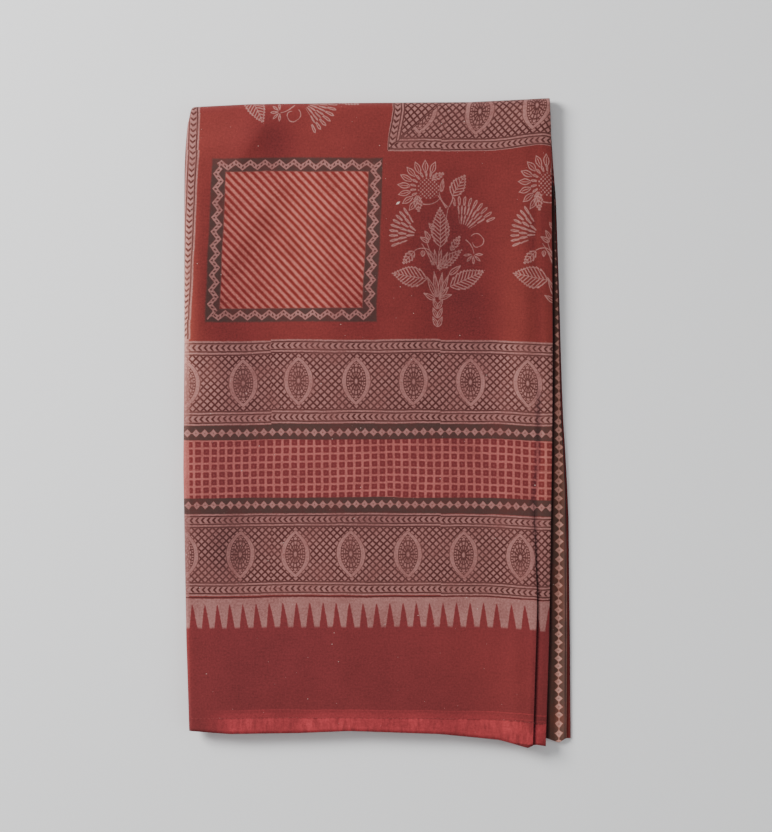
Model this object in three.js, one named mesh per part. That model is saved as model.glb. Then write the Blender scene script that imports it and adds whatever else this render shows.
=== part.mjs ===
// A block-printed cotton bed sheet, folded away and lying face up.
// The sheet is doubled along its length, folded to and fro across its width in six panels,
// and turned over once at the top, so the front half ends in hems and the back half in a fold.
// +X is the sheet's right, +Y runs from the hem to the top fold, +Z is up out of the front.
import * as THREE from 'three';

// Driving dimensions, in millimetres.
const PLY = 1.1;             // one ply: two thicknesses of cotton and the air between them
const PLY_GAP = 0.35;        // air between neighbouring plies
const TURN_GAP = 0.8;        // air inside the top fold, between the front and the back half
const FOLD_SLACK = 3.4;      // how far the inner left folds lie inside the outer one
const HEM_DEPTH = 17;        // the stitched hem across the lower edge of the front panel
const HEM_RISE = 0.4;        // the hem is three thicknesses of cloth
const HEM_STEP = 0.1;        // the share of its depth over which it steps up
const LAP_RISE = 0.9;        // the pleat's lip stands this far above the strip beside it
const LAP_DEPTH = 2.4;       // how far the strip runs in under the lip
const LAP_SLIT = 0.32;       // the open slit under the lip
const LAP_FADE = [20, -60];  // the pleat starts at the first height and is full at the second
const LAP_REACH = 45;        // the lip's rise dies out over this width to its left
const FRONT_HEIGHT = 690;    // from the hem to the top fold
const SWELL_FADE = 30;       // the swells die out over this height below the top fold
const LEFT_SIDE = -204;      // where the left and right folds stand, near enough to find their height
const RIGHT_SIDE = 184;
const FRONT_INNER = 2.6;     // the front half's inner right fold lies this far in
const LOOSE_FIRST = 10;      // and so far in lie the loose edges of the first and sixth panels
const LOOSE_SIXTH = 7;
const FRONT_ROWS = 15;
const TURN_ROWS = 7;
const BACK_ROWS = 8;
const BOW = 1e-6;            // see flatOutline

const PITCH = PLY + PLY_GAP;
const LAYERS = 6;
const OUT = TURN_GAP / 2 + LAYERS * PLY + (LAYERS - 1) * PLY_GAP;  // mid-plane to outer face
const HEM_SHARE = HEM_DEPTH / FRONT_HEIGHT;

// The panels in the pile, counted from the outside in: level 0 is the printed front.
// short: how much shorter than the outermost one each level ends, in the front and the back half.
const levels = [
  { short: 0.0, shortBack: 0.0 },
  { short: 1.2, shortBack: 0.4 },
  { short: 2.4, shortBack: 0.0 },
  { short: 1.8, shortBack: 0.3 },
  { short: 3.2, shortBack: 3.5 },
  { short: 4.0, shortBack: 5.0 },
];

// The outline: left fold, and each right-hand fold, at heights from the hem to the top.
const frontOutline = [
  { y: -350, left: -203.2, right: 182.0 },
  { y: -235, left: -206.8, right: 185.6 },
  { y: -148, left: -208.4, right: 187.0 },
  { y: -51, left: -210.1, right: 188.5 },
  { y: 24, left: -209.5, right: 189.3 },
  { y: 89, left: -209.0, right: 189.5 },
  { y: 240, left: -209.0, right: 188.5 },
  { y: 273, left: -208.8, right: 188.2 },
  { y: 295, left: -207.9, right: 187.9 },
  { y: 321, left: -205.7, right: 187.6 },
  { y: 333, left: -203.0, right: 187.2 },
  { y: 344, left: -200.3, right: 186.6 },
];
const backOutline = [
  { y: -350, left: -184.0, right: 209.8, inner: 203.6 },
  { y: -235, left: -187.0, right: 209.0, inner: 204.4 },
  { y: -191, left: -188.0, right: 208.4, inner: 204.7 },
  { y: -105, left: -191.0, right: 207.6, inner: 203.6 },
  { y: -51, left: -193.0, right: 205.2, inner: 202.5 },
  { y: 8, left: -195.0, right: 201.4, inner: 199.4 },
  { y: 57, left: -196.0, right: 199.6, inner: 198.2 },
  { y: 143, left: -198.0, right: 197.2, inner: 196.0 },
  { y: 240, left: -200.0, right: 193.9, inner: 192.0 },
  { y: 294, left: -200.3, right: 189.8, inner: 187.6 },
  { y: 344, left: -200.3, right: 186.6, inner: 184.0 },
];

// The lower edges: the drooping hem of the front half, and the folded end of the back half.
const hemLine = [
  { x: -204, y: -333.0 },
  { x: -159, y: -336.3 },
  { x: -84, y: -335.2 },
  { x: -30, y: -333.0 },
  { x: 67, y: -336.3 },
  { x: 111, y: -340.6 },
  { x: 132, y: -342.7 },
  { x: 148, y: -347.1 },
  { x: 164, y: -351.7 },
  { x: 167.5, y: -348.7 },
  { x: 170, y: -347.6 },
  { x: 182, y: -349.7 },
];
const backEnd = [
  { x: -184, y: -329, tip: 0 },
  { x: 100, y: -331, tip: 0 },
  { x: 170, y: -338.5, tip: 0 },
  { x: 182, y: -340.5, tip: 0.8 },
  { x: 197, y: -341.8, tip: 5.0 },
  { x: 204, y: -342.2, tip: 0 },
];
const TIP_LEVELS = [2, 3];             // the dog-eared corner belongs to the inner right fold

// The top fold, higher on the right.
const crestLine = [
  { x: -200, y: 341.9 },
  { x: -138, y: 345.1 },
  { x: -51, y: 346.2 },
  { x: 100, y: 347.3 },
  { x: 165, y: 350.5 },
  { x: 184, y: 351.6 },
];

// The pleat in the front panel, and how far it lies inside the right-hand fold, from its foot up.
const pleatLine = [
  { y: -348, inset: 13.2 },
  { y: -235, inset: 13.9 },
  { y: 27, inset: 16.1 },
];

// Soft swells of the front, each centred at x and y and dying out over across and along.
const swells = [
  { x: -150, y: 250, across: 70, along: 60, rise: 1.1 },
  { x: -95, y: 20, across: 90, along: 110, rise: -0.7 },
  { x: 60, y: 170, across: 80, along: 120, rise: 0.8 },
  { x: 125, y: -90, across: 60, along: 110, rise: 1.0 },
  { x: -60, y: -230, across: 110, along: 70, rise: 0.8 },
  { x: 108, y: -320, across: 34, along: 60, rise: -0.8 },
];

// Where the points stand along a panel, as shares of its width.
const columnShares = [0.2, 0.4, 0.6, 0.8, 0.943, 0.975];
const frontShares = [0.2, 0.4, 0.6, 0.8, 0.92];

function look(table, key, value, column) {
  const rows = [...table].sort((a, b) => a[key] - b[key]);
  if (value <= rows[0][key]) return rows[0][column];
  for (let i = 1; i < rows.length; i += 1) {
    const [low, high] = [rows[i - 1], rows[i]];
    if (value <= high[key]) {
      const share = (value - low[key]) / (high[key] - low[key]);
      return THREE.MathUtils.lerp(low[column], high[column], share);
    }
  }
  return rows[rows.length - 1][column];
}

function levelDepth(level) {
  return OUT - PLY / 2 - level * PITCH;
}

// One row of the cloth: where it lies on its way from the hem over the top fold to the back.
function rows() {
  const list = [{ half: 'front', along: 0, angle: 0 }];
  list.push({ half: 'front', along: HEM_SHARE * (1 - HEM_STEP), angle: 0 });
  for (let i = 0; i < FRONT_ROWS; i += 1) {
    const along = THREE.MathUtils.lerp(HEM_SHARE * (1 + HEM_STEP), 1, i / (FRONT_ROWS - 1));
    list.push({ half: 'front', along, angle: 0 });
  }
  for (let i = 1; i < TURN_ROWS; i += 1) {
    list.push({ half: 'turn', along: 1, angle: (Math.PI * i) / TURN_ROWS });
  }
  for (let i = 0; i < BACK_ROWS; i += 1) {
    list.push({ half: 'back', along: 1 - i / (BACK_ROWS - 1), angle: Math.PI });
  }
  return list;
}

function turnHeight(x) {
  return look(crestLine, 'x', x, 'y') - OUT;
}

function endHeight(row, x, level) {
  if (row.half === 'back') {
    const tip = TIP_LEVELS.includes(level) ? look(backEnd, 'x', x, 'tip') : 0;
    return look(backEnd, 'x', x, 'y') - tip + levels[level].shortBack;
  }
  return look(hemLine, 'x', x, 'y') + levels[level].short;
}

function rowHeight(row, x, level) {
  return THREE.MathUtils.lerp(endHeight(row, x, level), turnHeight(x), row.along);
}

// The left and right end of each fold at one row; the turn blends the two halves.
function foldEnds(row) {
  const back = row.angle / Math.PI;
  const yLeft = rowHeight(row, LEFT_SIDE, 0);
  const yRight = rowHeight(row, RIGHT_SIDE, 0);
  const blend = (column, y) => THREE.MathUtils.lerp(
    look(frontOutline, 'y', y, column), look(backOutline, 'y', y, column), back);
  const frontRight = look(frontOutline, 'y', yRight, 'right');
  const innerRight = THREE.MathUtils.lerp(
    frontRight - FRONT_INNER, look(backOutline, 'y', yRight, 'inner'), back);
  const left = blend('left', yLeft);
  const outerRight = blend('right', yRight);
  return {
    outerLeft: left,
    innerLeft: left + FOLD_SLACK,
    outerRight,
    innerRight,
    looseSixth: frontRight - LOOSE_SIXTH,
    looseFirst: frontRight - LOOSE_FIRST,
    pleat: outerRight - look(pleatLine, 'y', yRight, 'inset'),
    lap: row.half === 'front' ? lapShare(yRight) : 0,
  };
}

function lapShare(y) {
  const grown = (LAP_FADE[0] - y) / (LAP_FADE[0] - LAP_FADE[1]);
  return THREE.MathUtils.clamp(grown, 0, 1);
}

// The route of the cloth through the pile, from the loose edge of the sixth panel to that of
// the first. A run goes along one level; a turn joins it to the next.
const route = [
  { run: 4, from: 'looseSixth', to: 'innerLeft' },
  { turn: 'left', from: 4, to: 3, at: 'innerLeft' },
  { run: 3, from: 'innerLeft', to: 'innerRight' },
  { turn: 'right', from: 3, to: 2, at: 'innerRight' },
  { run: 2, from: 'innerRight', to: 'innerLeft' },
  { turn: 'left', from: 2, to: 1, at: 'innerLeft' },
  { run: 1, from: 'innerLeft', to: 'outerRight' },
  { turn: 'right', from: 1, to: 0, at: 'outerRight' },
  { run: 0, from: 'outerRight', to: 'outerLeft' },
  { turn: 'left', from: 0, to: 5, at: 'outerLeft' },
  { run: 5, from: 'outerLeft', to: 'looseFirst' },
];

function turnRadius(levelA, levelB) {
  return Math.abs(levelDepth(levelA) - levelDepth(levelB)) / 2;
}

// How far short of its fold's outer point a run ends, where the turn takes over.
function runInset(name) {
  if (name.startsWith('loose')) return 0;
  const wide = name === 'outerLeft';
  return (wide ? turnRadius(0, 5) : turnRadius(0, 1)) + PLY / 2;
}

function runPoints(step, ends, side) {
  const startSign = step.from.endsWith('Left') ? 1 : -1;
  const endSign = step.to.endsWith('Left') ? 1 : -1;
  const start = ends[step.from] + startSign * runInset(step.from);
  const end = ends[step.to] + endSign * runInset(step.to);
  const toRight = end > start;
  const offset = (toRight ? side : -side) * PLY / 2;
  const d = levelDepth(step.run) + offset;
  const printed = step.run === 0 && offset > 0;
  const shares = printed ? frontShares : columnShares;
  const left = Math.min(start, end);
  const width = Math.abs(end - start);
  const points = shares.map((share) => ({ x: left + share * width, d, level: step.run, printed }));
  if (printed) points.push(...pleatPoints(ends, d));
  points.unshift({ x: left, d, level: step.run, printed });
  points.push({ x: left + width, d, level: step.run, printed });
  if (!toRight) points.reverse();
  return points;
}

// The lapped pleat, from the panel's side to the strip's: up over the lip, in under it and out.
// Where the pleat has died out its points lie flat, side by side.
function pleatPoints(ends, d) {
  const { pleat, lap } = ends;
  const profile = [
    { flat: -1.2, out: -1.2, up: LAP_RISE },
    { flat: -0.6, out: 0, up: LAP_RISE - 0.35 },
    { flat: 0, out: -0.2, up: LAP_SLIT / 2 },
    { flat: 0.6, out: -LAP_DEPTH, up: 0 },
    { flat: 1.2, out: 0.5, up: -LAP_SLIT / 2 },
  ];
  return profile.map((step) => ({
    x: pleat + THREE.MathUtils.lerp(step.flat, step.out, lap),
    d: d + step.up * lap,
    level: 0,
    printed: true,
    lip: true,
  }));
}

function turnPoints(step, ends, side) {
  const radius = turnRadius(step.from, step.to);
  const middle = (levelDepth(step.from) + levelDepth(step.to)) / 2;
  const sign = step.turn === 'left' ? 1 : -1;
  const centre = ends[step.at] + sign * (radius + PLY / 2);
  const climbs = step.to < step.from;
  const outside = (step.turn === 'left') === climbs ? side > 0 : side < 0;
  const wide = radius > PITCH;
  if (!outside && !wide) return [];
  const reach = radius + (outside ? PLY / 2 : -PLY / 2);
  const steps = wide ? 6 : 4;
  const points = [];
  for (let i = 1; i < steps; i += 1) {
    const turned = Math.PI * (i / steps);
    const lift = (climbs ? -1 : 1) * Math.cos(turned);
    points.push({
      x: centre - sign * reach * Math.sin(turned),
      d: middle + reach * lift,
      level: i <= steps / 2 ? step.from : step.to,
    });
  }
  return points;
}

// The closed outline of the pile across one row.
function sectionAt(row) {
  const ends = foldEnds(row);
  const sides = [1, -1].map((side) => route.flatMap((step) => (
    step.turn ? turnPoints(step, ends, side) : runPoints(step, ends, side))));
  return [...sides[0], ...sides[1].reverse()].map((point) => raised(point, row, ends));
}

// The lip's rise dies out to its left, and the hem is thicker than the cloth above it.
function raised(point, row, ends) {
  let { d } = point;
  if (point.printed && !point.lip && point.x < ends.pleat) {
    const near = THREE.MathUtils.clamp(1 - (ends.pleat - point.x) / LAP_REACH, 0, 1);
    d += LAP_RISE * ends.lap * near;
  }
  const inHem = row.half === 'front' && row.along < HEM_SHARE;
  if (point.printed && inHem) d += HEM_RISE;
  return { ...point, d };
}

function swellAt(x, y) {
  return swells.reduce((sum, swell) => {
    const reach = ((x - swell.x) / swell.across) ** 2 + ((y - swell.y) / swell.along) ** 2;
    return sum + swell.rise * Math.exp(-reach);
  }, 0);
}

function place(point, row) {
  const y = rowHeight(row, point.x, point.level);
  const lift = point.d * Math.cos(row.angle);
  const swell = row.half === 'front' ? swellAt(point.x, y) * (point.d / OUT) : 0;
  const fade = THREE.MathUtils.clamp((turnHeight(point.x) - y) / SWELL_FADE, 0, 1);
  return new THREE.Vector3(point.x, y + point.d * Math.sin(row.angle), OUT + lift + swell * fade);
}

// The outline on a flat plane, bowed a hair so that no three points of a straight run are in line.
function flatOutline(section) {
  return section.map((point) => new THREE.Vector2(point.x, point.d + BOW * point.x ** 2));
}

// The triangles that close one end, all turning the same way as the outline does.
function capTriangles(section) {
  const outline = flatOutline(section);
  return THREE.ShapeUtils.triangulateShape(outline, []).map(([a, b, c]) => (
    THREE.ShapeUtils.isClockWise([outline[a], outline[b], outline[c]]) ? [a, c, b] : [a, b, c]));
}

// The sheet as one closed body: the section of each row, joined row to row and capped.
function foldedSheet() {
  const rowList = rows();
  const sections = rowList.map(sectionAt);
  if (THREE.ShapeUtils.isClockWise(flatOutline(sections[0]))) {
    sections.forEach((section) => section.reverse());
  }
  const count = sections[0].length;
  const last = sections.length - 1;
  const positions = [];
  sections.forEach((section, j) => {
    section.forEach((point) => positions.push(...place(point, rowList[j]).toArray()));
  });
  const index = [];
  for (let j = 0; j < last; j += 1) {
    for (let i = 0; i < count; i += 1) {
      const a = j * count + i;
      const b = j * count + ((i + 1) % count);
      index.push(a, b + count, b);
      index.push(a, a + count, b + count);
    }
  }
  for (const [a, b, c] of capTriangles(sections[0])) index.push(a, b, c);
  for (const [a, b, c] of capTriangles(sections[last])) {
    index.push(last * count + a, last * count + c, last * count + b);
  }
  const geometry = new THREE.BufferGeometry();
  geometry.setAttribute('position', new THREE.Float32BufferAttribute(positions, 3));
  geometry.setIndex(index);
  geometry.computeVertexNormals();
  return geometry;
}

const cotton = new THREE.MeshStandardMaterial({ color: 0x8c3232, roughness: 0.9, metalness: 0 });

const sheet = new THREE.Mesh(foldedSheet(), cotton);
sheet.name = 'bed_sheet';

const group = new THREE.Group();
group.add(sheet);

// The origin is under the middle of the folded sheet, on the surface that it lies on.
const box = new THREE.Box3().setFromObject(group);
const middle = box.getCenter(new THREE.Vector3());
sheet.position.set(-middle.x, -middle.y, -box.min.z);

export default group;
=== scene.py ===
import math
import bpy
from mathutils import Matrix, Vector, noise


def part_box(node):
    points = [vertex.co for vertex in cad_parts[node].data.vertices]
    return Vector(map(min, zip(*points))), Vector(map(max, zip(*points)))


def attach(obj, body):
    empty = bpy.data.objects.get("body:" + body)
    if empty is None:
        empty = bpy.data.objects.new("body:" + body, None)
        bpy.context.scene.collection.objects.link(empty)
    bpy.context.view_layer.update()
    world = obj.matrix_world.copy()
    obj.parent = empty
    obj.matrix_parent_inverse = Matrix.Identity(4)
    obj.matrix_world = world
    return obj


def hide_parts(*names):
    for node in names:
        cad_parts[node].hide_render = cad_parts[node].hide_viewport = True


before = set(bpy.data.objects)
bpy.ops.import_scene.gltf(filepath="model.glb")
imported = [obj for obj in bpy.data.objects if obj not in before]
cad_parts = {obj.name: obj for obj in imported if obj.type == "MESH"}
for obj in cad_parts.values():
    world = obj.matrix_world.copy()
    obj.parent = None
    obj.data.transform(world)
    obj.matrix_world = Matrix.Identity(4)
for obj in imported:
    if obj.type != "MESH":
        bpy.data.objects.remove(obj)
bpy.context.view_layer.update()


# The folded sheet
# One piece of printed cotton, 90 by 108 inches. It is doubled along its length with the print
# outward, folded to and fro across its width in six panels, and turned over once at the top.

SHEET_WIDTH = 2.286
SHEET_LENGTH = 2.743
PLY = 0.0011                 # one ply of the pile: two thicknesses of cotton and the air between
PLY_GAP = 0.00035
TURN_GAP = 0.0008            # inside the top fold, between the front half and the back half
COTTON = 0.0004
SPLIT = 0.00033              # from the middle of a ply to the middle of either thickness
LAYERS = 6
PITCH = PLY + PLY_GAP
OUT = TURN_GAP / 2 + LAYERS * PLY + (LAYERS - 1) * PLY_GAP
FOLD_SLACK = 0.0034
FRONT_INNER = 0.0026
LOOSE_FIRST = 0.010
LOOSE_SIXTH = 0.007

# Where the crosswise folds fall, measured over the cloth from its first long edge.
FOLDS = {"outer_left": 0.350, "outer_right": 0.744, "inner_left": 1.1385,
         "inner_right": 1.533, "last_left": 1.9095}
LOZENGE_COLUMN = 0.7461      # a column of printed lozenges, from the nearer long edge
LOZENGES_AT = 0.1979         # it runs straight down the back half here, beside the front

# The outline, from the hem up: the left fold and the right-hand folds of each half of the pile.
FRONT_OUTLINE = [
    dict(y=-0.350, left=-0.2032, right=0.1820),
    dict(y=-0.235, left=-0.2068, right=0.1856),
    dict(y=-0.148, left=-0.2084, right=0.1870),
    dict(y=-0.051, left=-0.2101, right=0.1885),
    dict(y=0.024, left=-0.2095, right=0.1893),
    dict(y=0.089, left=-0.2090, right=0.1895),
    dict(y=0.240, left=-0.2090, right=0.1885),
    dict(y=0.273, left=-0.2088, right=0.1882),
    dict(y=0.295, left=-0.2079, right=0.1879),
    dict(y=0.321, left=-0.2057, right=0.1876),
    dict(y=0.333, left=-0.2030, right=0.1872),
    dict(y=0.344, left=-0.2003, right=0.1866),
]
BACK_OUTLINE = [
    dict(y=-0.350, left=-0.1840, right=0.2098, inner=0.2050),
    dict(y=-0.235, left=-0.1870, right=0.2090, inner=0.2056),
    dict(y=-0.191, left=-0.1880, right=0.2084, inner=0.2056),
    dict(y=-0.105, left=-0.1910, right=0.2076, inner=0.2048),
    dict(y=-0.051, left=-0.1930, right=0.2052, inner=0.2034),
    dict(y=0.008, left=-0.1950, right=0.2014, inner=0.1994),
    dict(y=0.057, left=-0.1960, right=0.1996, inner=0.1982),
    dict(y=0.143, left=-0.1980, right=0.1972, inner=0.1960),
    dict(y=0.240, left=-0.2000, right=0.1939, inner=0.1920),
    dict(y=0.294, left=-0.2003, right=0.1898, inner=0.1876),
    dict(y=0.344, left=-0.2003, right=0.1866, inner=0.1840),
]
HEM_LINE = [
    dict(x=-0.204, y=-0.3330), dict(x=-0.159, y=-0.3363), dict(x=-0.084, y=-0.3352),
    dict(x=-0.030, y=-0.3330), dict(x=0.067, y=-0.3363), dict(x=0.111, y=-0.3406),
    dict(x=0.132, y=-0.3427), dict(x=0.148, y=-0.3471), dict(x=0.164, y=-0.3517),
    dict(x=0.1675, y=-0.3487), dict(x=0.170, y=-0.3476), dict(x=0.182, y=-0.3497),
]
BACK_END = [
    dict(x=-0.184, y=-0.3290, tip=0.0), dict(x=0.100, y=-0.3310, tip=0.0),
    dict(x=0.170, y=-0.3385, tip=0.0), dict(x=0.182, y=-0.3405, tip=0.0008),
    dict(x=0.197, y=-0.3418, tip=0.0050), dict(x=0.204, y=-0.3422, tip=0.0),
]
TIP_LEVELS = (2, 3)
END_SHARES = (0.0, 0.012, 0.023, 0.035)      # the corner dips over this last share of the back half
CREST_LINE = [
    dict(x=-0.200, y=0.3419), dict(x=-0.138, y=0.3451), dict(x=-0.051, y=0.3462),
    dict(x=0.100, y=0.3473), dict(x=0.165, y=0.3505), dict(x=0.184, y=0.3516),
]
SHORT = [dict(front=0.0, back=0.0), dict(front=0.0012, back=0.0004),
         dict(front=0.0024, back=0.0), dict(front=0.0018, back=0.0003),
         dict(front=0.0032, back=0.0035), dict(front=0.0040, back=0.0050)]

# The pleat near the right fold, taken in the outer thickness of the front panel only.
PLEAT_LINE = [
    dict(y=-0.348, inset=0.0142), dict(y=-0.235, inset=0.0142), dict(y=-0.190, inset=0.0140),
    dict(y=-0.137, inset=0.0164), dict(y=-0.083, inset=0.0193), dict(y=-0.040, inset=0.0150),
    dict(y=0.046, inset=0.0148),
]
PLEAT_TOP = -0.060           # it starts at this height and is fully folded at the next
PLEAT_FULL = -0.235
PLEAT_DEPTH = 0.0013
PLEAT_REACH = 0.045          # the step up to its lip dies out over this width
PLEAT_STEP = 0.00044         # from one thickness to the next
PLEAT_LIFT = 0.0016          # the lip stands open by this much more
PLEAT_DROP = 0.0012          # the print beyond it sits this much lower

# Soft swells of the whole pile, and creases pressed into the front.
SWELLS = [
    dict(x=-0.150, y=0.250, across=0.070, along=0.060, rise=0.0012),
    dict(x=-0.095, y=0.020, across=0.090, along=0.110, rise=-0.0007),
    dict(x=-0.026, y=0.170, across=0.055, along=0.110, rise=0.0015),
    dict(x=0.125, y=-0.090, across=0.060, along=0.110, rise=0.0010),
    dict(x=-0.060, y=-0.230, across=0.110, along=0.070, rise=0.0008),
    dict(x=0.108, y=-0.320, across=0.034, along=0.060, rise=-0.0008),
]
CREASES = [              # steep is on the left of the way from start to end
    dict(start=(-0.101, 0.352), end=(-0.160, 0.265), steep=0.034, gentle=0.050, rise=0.0050),
    dict(start=(-0.102, 0.262), end=(-0.168, 0.160), steep=0.028, gentle=0.040, rise=0.0026),
    dict(start=(-0.192, 0.330), end=(-0.192, 0.000), steep=0.036, gentle=0.014, rise=0.0017),
    dict(start=(0.160, 0.330), end=(0.163, -0.020), steep=0.016, gentle=0.032, rise=0.0018),
    dict(start=(0.146, -0.352), end=(0.146, -0.215), steep=0.030, gentle=0.014, rise=0.0014),
    dict(start=(0.150, 0.080), end=(0.158, -0.180), steep=0.020, gentle=0.024, rise=0.0008),
    dict(start=(0.020, 0.060), end=(0.060, 0.210), steep=0.040, gentle=0.030, rise=0.0009),
    dict(start=(-0.150, -0.305), end=(-0.075, -0.262), steep=0.014, gentle=0.020, rise=0.0006),
    dict(start=(-0.030, -0.180), end=(-0.040, -0.300), steep=0.030, gentle=0.020, rise=0.0006),
]

# Patches painted lighter or darker over the front as it lies: painted light where the folds and swells
# catch it, painted shade in and beside the creases, and some uneven dye; less tells how much lighter each
# is, or darker where negative.
PAINTED_LIGHT_SHADE_AND_DYE_PATCHES = [
    dict(x=-0.205, y=0.145, across=0.013, along=0.155, less=0.38),
    dict(x=-0.2085, y=0.120, across=0.008, along=0.130, less=0.50),
    dict(x=-0.2075, y=-0.262, across=0.0045, along=0.045, less=0.45),
    dict(x=-0.180, y=0.310, across=0.040, along=0.040, less=0.14),
    dict(x=-0.175, y=0.140, across=0.018, along=0.060, less=-0.16),
    dict(x=-0.112, y=0.303, across=0.022, along=0.030, less=-0.28),
    dict(x=-0.143, y=0.060, across=0.026, along=0.090, less=-0.12),
    dict(x=-0.078, y=0.205, across=0.030, along=0.070, less=0.12),
    dict(x=-0.020, y=0.120, across=0.030, along=0.040, less=-0.20),
    dict(x=0.075, y=0.200, across=0.045, along=0.075, less=-0.28),
    dict(x=0.146, y=0.110, across=0.020, along=0.110, less=0.20),
    dict(x=0.172, y=0.205, across=0.010, along=0.050, less=-0.22),
    dict(x=0.146, y=-0.130, across=0.026, along=0.070, less=0.12),
    dict(x=-0.160, y=-0.130, across=0.030, along=0.030, less=-0.12),
    dict(x=-0.100, y=-0.250, across=0.050, along=0.045, less=-0.08),
    dict(x=0.100, y=-0.240, across=0.060, along=0.045, less=0.10),
    dict(x=-0.184, y=0.045, across=0.014, along=0.034, less=0.26),
    dict(x=0.187, y=-0.030, across=0.015, along=0.130, less=0.28),
    dict(x=0.150, y=-0.290, across=0.040, along=0.050, less=0.16),
    dict(x=0.070, y=0.110, across=0.050, along=0.100, less=-0.10),
    dict(x=0.100, y=0.122, across=0.026, along=0.060, less=-0.12),
    dict(x=0.176, y=-0.045, across=0.016, along=0.045, less=0.16),
    dict(x=0.160, y=0.335, across=0.030, along=0.014, less=0.20),
    dict(x=-0.062, y=-0.105, across=0.110, along=0.014, less=-0.13),
    dict(x=-0.165, y=-0.148, across=0.020, along=0.026, less=-0.10),
    dict(x=-0.155, y=0.000, across=0.026, along=0.360, less=-0.08),
    dict(x=0.118, y=0.080, across=0.020, along=0.050, less=-0.10),
    dict(x=0.030, y=-0.105, across=0.050, along=0.012, less=-0.12),
    dict(x=0.165, y=0.030, across=0.022, along=0.035, less=0.14),
]
PLEAT_PAINTED_SHADE = -0.80           # painted shade in the pleat and, below, under the right-hand folds
# a little painted shade on the cloth just beyond the pleat, as it folds
BESIDE_PLEAT_PAINTED_SHADE = -0.06
CREASE_PAINTED_SHADE = -0.34          # above the pleat, painted shade of a soft crease runs on, up to this height
CREASE_TOP = 0.046
CREASE_FULL = 0.026
# painted shade on the back's outer right fold, which lies low beside the strip
BACK_FOLD_PAINTED_SHADE = -0.55
STRIP_PAINTED_LIGHT = 1.20            # and painted light brightens the lozenges between, over this width
# painted shadow of the front's edge on the strip, and painted shade on the fold beside it
STRIP_SHADE = -0.62
STRIP_PAINTED_LIGHT_SPAN = dict(left=(0.0018, 0.0045), right=(0.0044, 0.0068))
FOLD_RIM_PAINTED_HIGHLIGHT = 2.4              # low down, the fold beside them gets a painted highlight
HEM_DEPTH = 0.0148
HEM_RISE = 0.0004
TROUGH = 0.0003              # the front can sink no deeper than the air in its ply
SWELL_FADE = 0.030
RIGHT_SAG = 0.22             # the right-hand folds lie flatter than the pile, by this share
RIGHT_SAG_WIDTH = 0.012


def look(table, key, value, column):
    """The column's value in a table, in a straight line between its rows."""
    rows = table if table[0][key] < table[-1][key] else table[::-1]
    if value <= rows[0][key]:
        return rows[0][column]
    for low, high in zip(rows, rows[1:]):
        if value <= high[key]:
            share = (value - low[key]) / (high[key] - low[key])
            return low[column] + share * (high[column] - low[column])
    return rows[-1][column]


def soft_step(value, start, end):
    share = min(1.0, max(0.0, (value - start) / (end - start)))
    return share * share * (3 - 2 * share)


def depth_of(level):
    """How far a ply's middle lies outside the pile's middle plane; level 0 is the front."""
    return OUT - PLY / 2 - level * PITCH


def turn_height(x):
    return look(CREST_LINE, "x", x, "y") - OUT


def height(row, x, level):
    """The row's place between the lower edge and the start of the top fold."""
    if row["half"] == "back":
        dip = look(BACK_END, "x", x, "tip") if level in TIP_LEVELS else 0.0
        dip *= 1 - soft_step(row["along"], END_SHARES[0], END_SHARES[-1])
        low = look(BACK_END, "x", x, "y") + SHORT[level]["back"]
    else:
        dip = 0.0
        low = look(HEM_LINE, "x", x, "y") + SHORT[level]["front"]
    return low + (turn_height(x) - low) * row["along"] - dip


def fold_places(row):
    """Where each fold and loose edge lies across one row of the cloth."""
    back = row["angle"] / math.pi
    y_left = height(row, -0.204, 0)
    y_right = height(row, 0.184, 0)
    front_right = look(FRONT_OUTLINE, "y", y_right, "right")

    def outline(column, y):
        ahead = look(FRONT_OUTLINE, "y", y, column)
        return ahead + back * (look(BACK_OUTLINE, "y", y, column) - ahead)

    inner = front_right - FRONT_INNER
    inner_back = look(BACK_OUTLINE, "y", y_right, "inner")
    slant = SHEET_WIDTH - LOZENGE_COLUMN - (inner_back - LOZENGES_AT) - FOLDS["inner_right"]
    left = outline("left", y_left)
    right = outline("right", y_right)
    pleated = soft_step(-y_right, -PLEAT_TOP, -PLEAT_FULL) if row["half"] == "front" else 0.0
    return {
        "outer_left": left,
        "inner_left": left + FOLD_SLACK,
        "last_left": left + FOLD_SLACK,
        "outer_right": right,
        "inner_right": inner + back * (inner_back - inner),
        "inner_right_mark": FOLDS["inner_right"] + back * slant,
        "loose_sixth": front_right - LOOSE_SIXTH,
        "loose_first": front_right - LOOSE_FIRST,
        "pleat": right - look(PLEAT_LINE, "y", y_right, "inset"),
        "pleated": pleated if row["cloth"] == 1 else 0.0,
    }


# The route of the cloth through the pile, from the loose edge of the first panel to that of the
# sixth. A run goes along one level; a turn joins it to the next.
ROUTE = [
    dict(run=5, start="loose_first", end="outer_left", steps=6),
    dict(turn="left", start=5, end=0, at="outer_left", steps=12),
    dict(run=0, start="outer_left", end="outer_right", steps=96),
    dict(turn="right", start=0, end=1, at="outer_right", steps=8),
    dict(run=1, start="outer_right", end="inner_left", steps=8),
    dict(turn="left", start=1, end=2, at="inner_left", steps=5),
    dict(run=2, start="inner_left", end="inner_right", steps=8, fine="end"),
    dict(turn="right", start=2, end=3, at="inner_right", steps=6),
    dict(run=3, start="inner_right", end="last_left", steps=8, fine="start"),
    dict(turn="left", start=3, end=4, at="last_left", steps=5),
    dict(run=4, start="last_left", end="loose_sixth", steps=6),
]
TIP_SHARES = (0.062, 0.050, 0.042, 0.036, 0.031, 0.026, 0.021, 0.016, 0.011, 0.006)     # finer here
STRIP_STEPS = 4              # columns of the front run that lie between the pleat and the fold

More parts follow.
